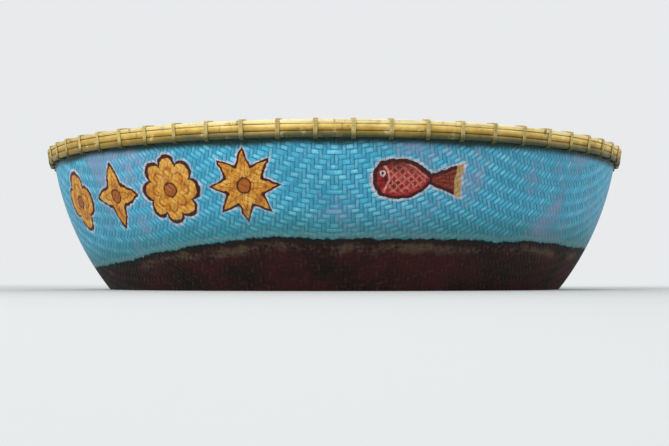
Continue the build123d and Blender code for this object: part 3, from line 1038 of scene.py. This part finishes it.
# %% The five hoops of the rim
HOOPS = (
    # name, depths, distances down the skin, CAD node, seed, slot
    ("outer_hoop_upper", (-0.0143, -0.0003), (0.0002, 0.0180), "rim_hoop_outer_upper", 11, "painted_hoop"),
    ("outer_hoop_lower", (-0.0147, -0.0003), (0.0185, 0.0363), "rim_hoop_outer_lower", 12, "painted_hoop"),
    ("inner_hoop_upper", (0.0083, 0.0223), (0.0002, 0.0180), "rim_hoop_inner_upper", 13, "bare_hoop"),
    ("inner_hoop_lower", (0.0083, 0.0223), (0.0185, 0.0363), "rim_hoop_inner_lower", 14, "bare_hoop"),
    ("cap_hoop", (-0.0146, 0.0226), (-0.0123, -0.0003), "rim_cap", 15, "painted_hoop"),
)
hoops = {}
for name, depths, downs, node, seed, slot_name in HOOPS:
    hoops[name] = hoop(name, depths, downs, seed)
    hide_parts(node)
    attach(hoops[name], "root")
print(len(hoops), "hoops, each", len(hoops["cap_hoop"].data.polygons), "faces")

# %% [markdown]
# ## Lashings round the rim
# At every hand's width three turns of cord go over the cap and through the mat under the hoops. One turn
# is a curve with a round bevel, so its corners bend as cord does. It is made a mesh, and copies of it
# are turned round the boat, each tied a little off square as by hand.

# %% Cords, and copies of a pattern
# A tie's lean is measured over this height
LEAN_HEIGHT = 0.05


def cords(name, paths, radius, closed=False):
    """Cords along lists of places, as one mesh."""
    data = bpy.data.curves.new(name, "CURVE")
    data.dimensions = "3D"
    for path in paths:
        spline = data.splines.new("POLY")
        spline.points.add(len(path) - 1)
        for point, place in zip(spline.points, path):
            point.co = (*place, 1)
        spline.use_cyclic_u = closed
    data.bevel_depth = radius
    data.bevel_resolution = 1
    data.use_fill_caps = True
    piece = bpy.data.objects.new(name, data)
    scene.collection.objects.link(piece)
    select_only(piece)
    bpy.ops.object.convert(target="MESH")
    return bpy.context.object


def copies(pattern, name, moves):
    """One mesh that holds a copy of the pattern for each move, in place of the pattern."""
    places = corner_places(pattern)
    corner, first, _ = face_corners(pattern)
    faces = np.split(corner, first[1:])
    mesh = bpy.data.meshes.new(name)
    mesh.from_pydata(
        np.concatenate([move(places) for move in moves]).tolist(), [],
        [(face + number * len(places)).tolist() for number in range(len(moves)) for face in faces],
    )
    mesh.update()
    piece = bpy.data.objects.new(name, mesh)
    scene.collection.objects.link(piece)
    bpy.data.objects.remove(pattern)
    return piece


def turned(angle, lean):
    """A move that turns places round the boat's axis, more at the top than below by lean."""
    def move(places):
        x, y, z = places.T
        here = angle + lean * (z - FREEBOARD) / LEAN_HEIGHT
        return np.stack([x * np.cos(here) - y * np.sin(here), x * np.sin(here) + y * np.cos(here), z], 1)
    return move


print("cords can be laid and copied")

# %% [markdown]
# The turn is drawn at the angle nought, where depth and distance down the skin are easy to give, and
# each copy is only turned. A tie's lean carries its foot about a millimetre to one side of its top.

# %% Lashings round the rim
TIE_COUNT = 60
TIE_TURNS = 3
CORD = 0.0019
# Turns lie this many radii apart, a hair more than touching
TURN_PITCH = 2.02
# How much ties lean, and how much a turn leans beside the others of its tie, in radians
TIE_LEAN, TURN_LEAN = 0.0009, 0.0002
TIE_PATH = (
    # depth, distance down the skin
    (0.0010, 0.0392), (-0.0100, 0.0394), (-0.0158, 0.0372), (-0.0166, 0.0300), (-0.0164, 0.0090),
    (-0.0164, -0.0080), (-0.0150, -0.0136), (-0.0090, -0.0142), (0.0170, -0.0142), (0.0232, -0.0134),
    (0.0243, -0.0080), (0.0243, 0.0300), (0.0236, 0.0372), (0.0180, 0.0394), (0.0070, 0.0392),
)


def lash_rim():
    chance = np.random.default_rng(21)
    moves = []
    for tie in range(TIE_COUNT):
        middle = (tie + 0.5) * 2 * pi / TIE_COUNT
        lean = chance.normal(0, TIE_LEAN)
        for turn in range(TIE_TURNS):
            place = (turn - (TIE_TURNS - 1) / 2) * TURN_PITCH * CORD / MAT_TOP_RADIUS
            moves.append(turned(middle + place, lean + chance.normal(0, TURN_LEAN)))
    turn = cords("cord_turn", [[around(0.0, down, depth) for depth, down in TIE_PATH]], CORD)
    return copies(turn, "rim_lashings", moves)


lashings = lash_rim()
smooth(lashings, 60)
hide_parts("rim_ties")
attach(lashings, "root")
print(TIE_COUNT, "lashings of", TIE_TURNS, "turns,", len(lashings.data.polygons), "faces")

# %% [markdown]
# The rim is painted a creamy yellow. Down the rim the colour runs from cream on top, a painted
# highlight, through yellow and ochre to olive lowest, which is painted shade on its side. The colour
# fades from one to the other down the rim, so the finish reads how far down the skin a place lies,
# which each hoop keeps in its run attribute.

# %% Rim paint, with painted light and shade down to ochre
CREAM, YELLOW, OCHRE, OLIVE_SHADE = srgb(250, 232, 168), srgb(230, 194, 94), srgb(160, 126, 40), srgb(46, 60, 22)
BARE = srgb(120, 96, 58)


def rim_paint():
    paint = Finish("rim_paint", 0.45)
    run, knuckle = paint.attribute("run", vector=True), paint.attribute("knuckle")
    streaks = paint.fibres((9, 260, 260), 4.0, source=run)
    cracks = paint.fibres((5, 420, 420), 2.0, source=run)
    patches, specks = paint.noise(9.0, 5.0, 0.65), paint.noise(140.0, 4.0, 0.7)
    stains = paint.noise(26.0, 4.0, 0.6)
    low = paint.total(paint.split(run)[1], paint.swing(patches, 0.030))
    # From a painted highlight in cream on top to painted shade in olive lowest
    rim_light_to_shade, upper = paint.fade(low, -0.014, 0.037), paint.fade(low, 0.018, 0.030, 1.0, 0.25)
    chips = paint.total((specks, 0.6), (patches, 0.5), (knuckle, 0.12))
    # Streaks, cracks, painted shade on the left end, chips, rubbed knuckles, and stains both dark and
    # bleached
    tone = paint.layers(
        paint.ramp(rim_light_to_shade, (0.0, CREAM), (0.28, YELLOW), (0.62, OCHRE), (0.96, OLIVE_SHADE)),
        (paint.product(paint.fade(streaks, 0.46, 0.66, 0.0, 0.42), upper), OCHRE),
        (paint.fade(cracks, 0.66, 0.70, 0.0, 0.6), BARE),
        (paint.fade(paint.x, -0.95, -0.25, 0.6, 0.0), OCHRE),
        (paint.fade(chips, 0.63, 0.72, 0.0, 0.8), BARE),
        (paint.fade(knuckle, 0.70, 0.95, 0.0, 0.6), BARE),
        (paint.product(paint.fade(stains, 0.55, 0.72, 0.0, 0.5), upper), OCHRE),
        (paint.product(paint.fade(stains, 0.30, 0.42, 0.5, 0.0), upper), CREAM),
    )
    height = paint.total(streaks, (specks, 0.3))
    return paint.finished(tone, paint.fade(patches, 0.3, 0.7, 0.38, 0.6), (height, 0.0006, 0.6))


rim_finish = rim_paint()
for name in ("outer_hoop_upper", "outer_hoop_lower", "cap_hoop"):
    hoops[name].data.materials.append(rim_finish)
print("rim paint has", len(rim_finish.node_tree.nodes), "nodes")

# %% [markdown]
# Bare bamboo is straw to brown with long pale fibres, and it is darkest at the knuckles. The same
# finish serves the inner hoops, the ribs, the poles and the slats. A CAD node has no run attribute, so
# there the fibres follow one axis of the object instead.

# %% Bare bamboo
STRAW, HONEY, UMBER = srgb(196, 162, 104), srgb(150, 112, 62), srgb(84, 58, 32)
# How far off a knuckle its pale band lies, as a share of the way to the next knuckle
BAND_OFF = 0.022
# How far a piece's knuckles lie off its neighbour's, and how ragged they are, as shares of that way
NEIGHBOUR_OFF, RAGGED = 0.37, 0.02
# Turns an angle round the boat into about the distance along the ledge
LEDGE_ABOUT = 0.8


def bamboo(name, stretch, darkness=0.0, run=None, knuckles=None):
    """Bamboo with its fibres along the axis where stretch is small, and a line at each knuckle.

    run makes the vector that the fibres follow, where they don't follow the object's axes.
    knuckles is a direction along the piece, in knuckles to the metre, and another that tells one
    piece from the next, so that each has its knuckles elsewhere."""
    finish = Finish(name, 0.5)
    fibres = finish.fibres(stretch, 5.0, 0.6, run(finish) if run else None)
    patches, stains = finish.noise(4.0, 4.0), finish.noise(22.0, 5.0, 0.7)
    shade = finish.total((fibres, 0.75), (patches, 0.30), (stains, 0.25), -darkness)
    tone = finish.ramp(shade, (0.38, UMBER), (0.58, HONEY), (0.80, STRAW))
    height = fibres
    if knuckles:
        along, sort = (finish.vector("DOT_PRODUCT", finish.here, direction) for direction in knuckles)
        number = finish.math("FLOOR", finish.total(sort, 0.5))
        along = finish.total(along, (number, NEIGHBOUR_OFF), (stains, RAGGED))
        off = finish.gap(finish.math("FRACT", along), 0.5)
        knuckle = finish.fade(off, 0.004, 0.012, 0.8, 0.0)
        band = finish.line(off, BAND_OFF, 0.004, 0.014, 0.45)
        tone = finish.layers(tone, (knuckle, UMBER), (band, STRAW))
        height = finish.total(fibres, finish.fade(off, 0.004, BAND_OFF, 1.6, 0.0))
    return finish.finished(tone, finish.fade(stains, 0.3, 0.7, 0.42, 0.68), (height, 0.0008, 0.7))


def hoop_run(finish):
    return finish.attribute("run", vector=True)


def ring_run(finish):
    """Distance round the boat, distance from its axis and height, for a ring with no attribute."""
    around_it = finish.product(finish.math("ARCTAN2", finish.y, finish.x), LEDGE_ABOUT)
    from_axis = finish.vector("LENGTH", finish.vector("MULTIPLY", finish.here, (1, 1, 0)))
    return finish.add("CombineXYZ", {0: around_it, 1: from_axis, 2: finish.z}).outputs[0]


inner_hoop_finish = bamboo("inner_hoop_bamboo", (9, 260, 260), 0.08, run=hoop_run)
for name in ("inner_hoop_upper", "inner_hoop_lower"):
    hoops[name].data.materials.append(inner_hoop_finish)
print("rim finishes:", rim_finish.name, inner_hoop_finish.name)

# %% [markdown]
# The cord was painted over with the rim and has worn to a dull straw. Fine slanting ridges stand for
# its twist. On the rim's lashings the lower part gets painted shade in olive.

# %% Painted cord
def cord_finish(name, light, dark, shaded_below=None):
    cord = Finish(name, 0.7)
    slanted = cord.stretched((1, 1, 1), turn=(0.6, 0.5, 0.3))
    twist = cord.add("TexWave", {"Vector": slanted, "Scale": 190.0, "Distortion": 1.5}).outputs["Fac"]
    tone = cord.ramp(cord.total((twist, 0.3), (cord.noise(14.0, 4.0), 0.7)), (0.25, dark), (0.7, light))
    # Painted shade in olive on the cord's lower part
    if shaded_below:
        tone = cord.mix(cord.fade(cord.z, shaded_below - 0.018, shaded_below, 0.85, 0.0), tone, OLIVE_SHADE)
    return cord.finished(tone, bump=(twist, 0.0006, 0.8))


rim_cord = cord_finish("rim_cord", srgb(232, 210, 138), srgb(150, 126, 66), shaded_below=FREEBOARD - 0.018)
lashings.data.materials.append(rim_cord)
print("the lashings are finished in", rim_cord.name)

# %% [markdown]
# ## Finishes for the pieces that CAD already shapes well
# The rest of the pieces keep their CAD meshes. The ribs, the ledge, the poles and the slats get bamboo
# whose fibres run along them, and the bearers and boards get weathered timber with cracks and a grey
# bloom.

# %% Timber
TIMBER_DARK, TIMBER, TIMBER_GREY = srgb(84, 60, 42), srgb(140, 106, 74), srgb(172, 152, 128)
# How much wider or finer than the stretch given the timber's figure, its splits and its streaks are
FIGURE_WIDTH, SPLIT_WIDTH, STREAK_WIDTH = 0.28, 0.8, 2.4
RINGS = 75.0
# Takes each board's grain from a place of its own in the timber
BOARDS_APART = (3.7, 3.7, 3.7)


def timber(name, stretch, board=None):
    """Weathered timber with its grain along the axis where stretch is small.

    board is one over the boards' pitch on each axis, so that each board gets a tint of its own."""
    finish = Finish(name, 0.72)
    place, tint = finish.here, 0.5
    if board:
        number = finish.vector("ADD", finish.vector("MULTIPLY", place, board), (0.5, 0.5, 0.5))
        number = finish.vector("FLOOR", number)
        tint = finish.add("TexWhiteNoise", {"Vector": number}, noise_dimensions="3D").outputs["Value"]
        place = finish.vector("ADD", place, finish.vector("MULTIPLY", number, BOARDS_APART))

    def drawn_out(width, detail, rough):
        return finish.fibres([width * scale for scale in stretch], detail, rough, place)

    rings = finish.math("SINE", finish.product(drawn_out(FIGURE_WIDTH, 1.5, 0.4), RINGS))
    streaks, split = drawn_out(STREAK_WIDTH, 6.0, 0.7), drawn_out(SPLIT_WIDTH, 2.0, 0.5)
    bloom = finish.noise(6.0, 5.0)
    shade = finish.total((streaks, 0.85), (rings, 0.055), finish.swing(tint, 0.16))
    crack = finish.line(split, 0.62, 0.004, 0.010, 0.85)
    tone = finish.layers(
        finish.ramp(shade, (0.25, TIMBER_DARK), (0.44, TIMBER), (0.68, TIMBER_GREY)),
        (finish.fade(bloom, 0.45, 0.7, 0.0, 0.45), TIMBER_GREY),
        (crack, TIMBER_DARK),
    )
    height = finish.total(streaks, (rings, 0.12), (crack, -1.0))
    return finish.finished(tone, finish.fade(bloom, 0.3, 0.7, 0.6, 0.85), (height, 0.0012, 0.7))


print("timber can be mixed for each board")

# %% [markdown]
# The pitch of the boards, ribs and slats is read from the frame. Each board then gets its own tint, and
# each rib and slat has its knuckles at other places than its neighbour.

# %% Dress the CAD nodes
ALONG_X, ALONG_Y = (7, 150, 150), (150, 7, 150)


def pitch(start, axis):
    """How far apart the middles of the first two nodes of a kind are along an axis."""
    first, second = (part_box(start + number) for number in ("_1", "_2"))
    return abs((first[0][axis] + first[1][axis]) - (second[0][axis] + second[1][axis])) / 2


RIB_SORT, SLAT_SORT = 1 / pitch("long_rib", 1), 1 / pitch("floor_slat", 1)
node_finishes = {
    "long_rib": bamboo("long_rib_bamboo", (7, 190, 7), 0.14, knuckles=((3.1, 0, 0), (0, RIB_SORT, 0))),
    "cross_rib": bamboo("cross_rib_bamboo", (190, 7, 7), 0.12, knuckles=((0, 3.1, 0), (RIB_SORT, 0, 0))),
    "ledge_hoop": bamboo("ledge_bamboo", (9, 230, 230), 0.10, run=ring_run),
    "seat_pole": bamboo("pole_bamboo", ALONG_X),
    "floor_slat": bamboo("slat_bamboo", ALONG_X, 0.04, knuckles=((2.9, 0, 0), (0, SLAT_SORT, 0))),
    "floor_bearer": timber("bearer_timber", ALONG_Y),
    "bench_board": timber("board_timber", ALONG_Y, (1 / pitch("bench_board", 0), 0, 0)),
    "rower_plank": timber("plank_timber", ALONG_X),
}
dressed = 0
for node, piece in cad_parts.items():
    for start, material in node_finishes.items():
        if node.startswith(start):
            piece.data.materials.clear()
            piece.data.materials.append(material)
            dressed += 1
print(dressed, "CAD nodes dressed")

# %% [markdown]
# ## Rattan that holds the frame
# Ribs, ledge and seat are tied, not nailed, since rattan gives a little when the basket flexes. Where two
# ribs cross, two turns go over them each way and down through the mat. Each tie is a curve through a
# few places that are measured from the skin, so it hugs the bowl wherever it is.

# %% Ties over the crossings of the ribs
RATTAN = 0.0015
RIB_PITCH = 0.26495
RIB_PLACES = [number * RIB_PITCH for number in range(-2, 3)]
CROSSING_TIE = (
    # offset on both axes, depth
    (-0.0212, 0.0075), (-0.0205, 0.0240), (-0.0160, 0.0285), (0.0, 0.0288), (0.0160, 0.0285),
    (0.0205, 0.0240), (0.0212, 0.0075),
)
# Half the distance between two turns, and how much higher the turns lie that cross over others
TURN_OFF = 0.0016
CROSS_LIFT = 0.0026
# Depths past this are on top of the ribs
ON_RIBS = 0.02
# Beyond this distance from the axis the ribs don't cross on the bottom any more
LAST_CROSSING = 0.72
BEARERS = [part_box("floor_bearer_" + number) for number in "123"]
SKIN_STEPS = np.linspace(SKIN_LENGTH, 0, 400)


def under_skin(x, y, depth):
    """The place at x, y at a depth under the skin."""
    down = np.interp(np.hypot(x, y), on_skin(SKIN_STEPS, depth)[0], SKIN_STEPS)
    return np.array([x, y, float(on_skin(down, depth)[1])])


def under_bearer(x, y, spare=0.04):
    return any(
        low[0] - spare < x < high[0] + spare and low[1] - spare < y < high[1] + spare for low, high in BEARERS
    )


def crossing_turn(x, y, side, turn):
    """One turn of rattan over a crossing, slanting to one side or the other."""
    lift = 0.0 if side > 0 else CROSS_LIFT
    return [
        under_skin(x + way + turn, y + side * (way - turn), depth + (lift if depth > ON_RIBS else 0))
        for way, depth in CROSSING_TIE
    ]


crossing_paths = [
    crossing_turn(x, y, side, turn)
    for x in RIB_PLACES for y in RIB_PLACES if not under_bearer(x, y) and np.hypot(x, y) <= LAST_CROSSING
    for side in (1, -1) for turn in (-TURN_OFF, TURN_OFF)
]
crossing_ties = cords("crossing_ties", crossing_paths, RATTAN)
print(len(crossing_paths), "turns of rattan over the crossings")

# %% [markdown]
# The ledge is bound to each rib beside it. A turn round the ledge is a closed loop, which follows the
# lean of the bowl because each of its corners is measured from the skin.

# %% Ties round the ledge
LEDGE_LOW, LEDGE_HIGH = 0.036, 0.068
# Depths of the turns of rattan, over the ledge's face and between the ledge and the mat
LEDGE_FRONT, LEDGE_BACK = 0.0373, 0.0160
# Depth of the middle of the ledge itself
LEDGE_MIDDLE = 0.0266
POLE_PLACES = (-0.4203, -0.1803)
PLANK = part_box("rower_plank")
# A tie beside a rib clears half the rib's width, a little room, and more where the rib slants away
RIB_HALF, RIB_ROOM, SLANT_ROOM = 0.018, 0.009, 0.016
# How far the rattan stands off the ledge's edges, and how it rounds them
PROUD, ROUND_IN, ROUND_DOWN = 0.0014, 0.003, 0.004
# Turns round the ledge lie this many radii apart
LEDGE_PITCH = 2.1
# How far from a pole's middle and from the plank's edges a tie round the ledge stays
POLE_ROOM, PLANK_ROOM = 0.045, 0.015


def at_level(z, depth):
    """How far from the axis the bowl is at a height and depth."""
    out, high = on_skin(SKIN_STEPS, depth)
    return float(np.interp(z, high, out))


def front(z):
    return at_level(z, LEDGE_FRONT)


def back(z):
    return at_level(z, LEDGE_BACK)


LEDGE_RADIUS = at_level((LEDGE_LOW + LEDGE_HIGH) / 2, LEDGE_MIDDLE)


def ring_loop(angle):
    """A closed path straight round the ledge at an angle."""
    top, foot = LEDGE_HIGH, LEDGE_LOW
    corners = (
        (LEDGE_BACK, top - ROUND_DOWN), (LEDGE_BACK + ROUND_IN, top + PROUD),
        (LEDGE_FRONT - ROUND_IN, top + PROUD), (LEDGE_FRONT, top - ROUND_DOWN),
        (LEDGE_FRONT, foot + ROUND_DOWN), (LEDGE_FRONT - ROUND_IN, foot - PROUD),
        (LEDGE_BACK + ROUND_IN, foot - PROUD), (LEDGE_BACK, foot + ROUND_DOWN),
    )
    return [(at_level(z, depth) * cos(angle), at_level(z, depth) * sin(angle), z) for depth, z in corners]


def taken(y):
    """True where a pole or the plank lies on the ledge."""
    by_plank = PLANK[0][1] - PLANK_ROOM < y < PLANK[1][1] + PLANK_ROOM
    return by_plank or any(abs(y - pole) < POLE_ROOM for pole in POLE_PLACES)


ledge_paths = []
for place in RIB_PLACES:
    slant = asin(place / LEDGE_RADIUS)
    beside = (RIB_HALF / cos(slant) + RIB_ROOM + SLANT_ROOM * abs(sin(slant))) / LEDGE_RADIUS
    for middle in (slant, pi - slant, pi / 2 - slant, slant - pi / 2):
        for side in (-1, 1):
            for turn in (-0.5, 0.5):
                angle = middle + side * beside + turn * LEDGE_PITCH * RATTAN / LEDGE_RADIUS
                if not taken(LEDGE_RADIUS * sin(angle)):
                    ledge_paths.append(ring_loop(angle))
print(len(ledge_paths), "turns beside the ribs")

# %% [markdown]
# The poles and the cross plank are bound down to the ledge. At a pole the loops run slantwise, over the
# pole and under the ledge, and cross on top. At the plank they go straight down through it.

# %% Ties at the poles and the plank
POLE_ARCH = (
    # offset across the pole, height
    (0.0278, 0.0880), (0.0235, 0.1020), (0.0140, 0.1130), (0.0, 0.1168), (-0.0140, 0.1130), (-0.0235, 0.1020),
    (-0.0278, 0.0880),
)
# Turns over a pole lie this many radii apart, and the middle one this far from the pole's end
POLE_PITCH = 2.05
POLE_END_ROOM = 0.021
# How far from each edge of the plank its ties pass through it
PLANK_EDGE = 0.035
# How long the turns are on top of the plank
PLANK_GRIP = 0.033


def on_chord(side, radius, y, z):
    """The place at a distance from the axis, to one side, that has this y."""
    return side * sqrt(radius ** 2 - y ** 2), y, z


def pole_loop(pole, side, cross, turn):
    """Over the pole just inside the ledge, down its near side, under the ledge and up behind it."""
    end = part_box("seat_pole_" + str(POLE_PLACES.index(pole) + 1))[1][0]
    lift = 0.0 if cross > 0 else CROSS_LIFT
    shift = turn * POLE_PITCH * RATTAN
    over = end - POLE_END_ROOM - shift
    path = [(side * over, pole + cross * across, z + lift) for across, z in POLE_ARCH]
    round_ledge = (
        # offset across the pole, distance from the axis, height
        (-0.0285, front(0.066), 0.066), (-0.0240, front(0.039), 0.039),
        (-0.0120, front(0.036) + 0.004, 0.0340), (0.0120, back(0.036) - 0.004, 0.0340),
        (0.0240, back(0.039), 0.039), (0.0285, back(0.063), 0.063),
        (0.0290, back(0.068) - 0.003, 0.0698), (0.0290, front(0.068) + 0.002, 0.0702),
    )
    return path + [
        on_chord(side, radius, pole + cross * across + shift, z) for across, radius, z in round_ledge
    ]


def plank_loop(y, side):
    """Through the plank and round the ledge under its end."""
    top = PLANK[1][2]
    end = sqrt(PLANK[1][0] ** 2 + PLANK[0][1] ** 2)
    corners = (
        # distance from the axis, height
        (end + 0.0015, top - ROUND_DOWN), (end - 0.002, top + PROUD), (end - 0.030, top + PROUD),
        (end - PLANK_GRIP, top - ROUND_DOWN), (end - PLANK_GRIP, LEDGE_HIGH - ROUND_DOWN),
        (front(0.050), 0.050), (front(0.040), 0.040), (front(0.036) + 0.003, 0.0345),
        (back(0.036) - 0.003, 0.0345), (back(0.040), 0.040), (back(0.062), 0.062), (end + 0.0015, 0.072),
    )
    return [on_chord(side, radius, y, z) for radius, z in corners]


for side in (-1, 1):
    for pole in POLE_PLACES:
        ledge_paths += [pole_loop(pole, side, cross, turn) for cross in (1, -1) for turn in (-1, 0, 1)]
    for y in (PLANK[0][1] + PLANK_EDGE, PLANK[1][1] - PLANK_EDGE):
        ledge_paths += [plank_loop(y + turn * LEDGE_PITCH * RATTAN, side) for turn in (-0.5, 0.5)]
ledge_ties = cords("ledge_ties", ledge_paths, RATTAN, closed=True)

rattan = cord_finish("rattan", srgb(176, 138, 84), srgb(84, 56, 30))
for piece in (crossing_ties, ledge_ties):
    piece.data.materials.append(rattan)
    smooth(piece, 60)
    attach(piece, "root")
print(len(ledge_paths), "turns of rattan round the ledge")

# %% [markdown]
# ## Nails
# The boards and slats lie on round poles and curved bearers, where a tie would stand proud, so they are
# nailed. A head starts as a short cylinder, and its top face is drawn in and raised to a flat dome with
# a worn edge.

# %% Nail heads
NAIL_RADIUS = 0.0046
NAIL_HIGH = 0.0016
NAIL_SUNK = 0.0006
# How far in the dome starts, as a share of the radius, and how far it rises, as a share of the height
DOME_IN, DOME_RISE = 0.35, 0.45
# Half the distance between two nails on a board, and how near a slat's end one may be
NAIL_OFF = 0.026
SLAT_END = 0.015
# How far a nail strays from its place
NAIL_STRAY = 0.0015


def nail_head():
    select_only()
    bpy.ops.mesh.primitive_cylinder_add(vertices=10, radius=NAIL_RADIUS, depth=NAIL_HIGH)
    head = bpy.context.object
    select_faces(head, [polygon.normal.z > 0.9 for polygon in head.data.polygons])
    bpy.ops.mesh.inset(thickness=NAIL_RADIUS * DOME_IN, depth=NAIL_HIGH * DOME_RISE)
    bpy.ops.object.mode_set(mode="OBJECT")
    return head


def nail_places():
    """Places on top of the boards over the poles, and on the slats over the bearers."""
    chance = np.random.default_rng(31)
    places = []
    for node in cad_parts:
        low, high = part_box(node)
        x, y, top = (low[0] + high[0]) / 2, (low[1] + high[1]) / 2, high[2]
        if node.startswith("bench_board"):
            places += [(x + side * NAIL_OFF, pole, top) for pole in POLE_PLACES for side in (-1, 1)]
        if node.startswith("floor_slat"):
            for bearer_low, bearer_high in BEARERS:
                x = (bearer_low[0] + bearer_high[0]) / 2
                if low[0] + SLAT_END < x < high[0] - SLAT_END and bearer_low[1] < y < bearer_high[1]:
                    places.append((x, y, top))
    return np.array(places) + chance.normal(0, NAIL_STRAY, (len(places), 3)) * (1, 1, 0)


def shifted(place):
    """A move that carries the pattern to a place, its foot a little under the wood's face."""
    return lambda places: places + place + (0, 0, NAIL_HIGH / 2 - NAIL_SUNK)


def rusty_iron():
    iron = Finish("rusty_iron", 0.6)
    iron.shader.inputs["Metallic"].default_value = 0.6
    patches = iron.noise(260.0, 4.0)
    rust = iron.ramp(patches, (0.35, srgb(58, 44, 38)), (0.65, srgb(112, 66, 40)))
    return iron.finished(rust, iron.fade(patches, 0.3, 0.7, 0.45, 0.75), (patches, 0.0004, 0.6))


nail_spots = nail_places()
nails = copies(nail_head(), "nail_heads", [shifted(place) for place in nail_spots])
smooth(nails, 40)
nails.data.materials.append(rusty_iron())
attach(nails, "root")
print(len(nail_spots), "nail heads")
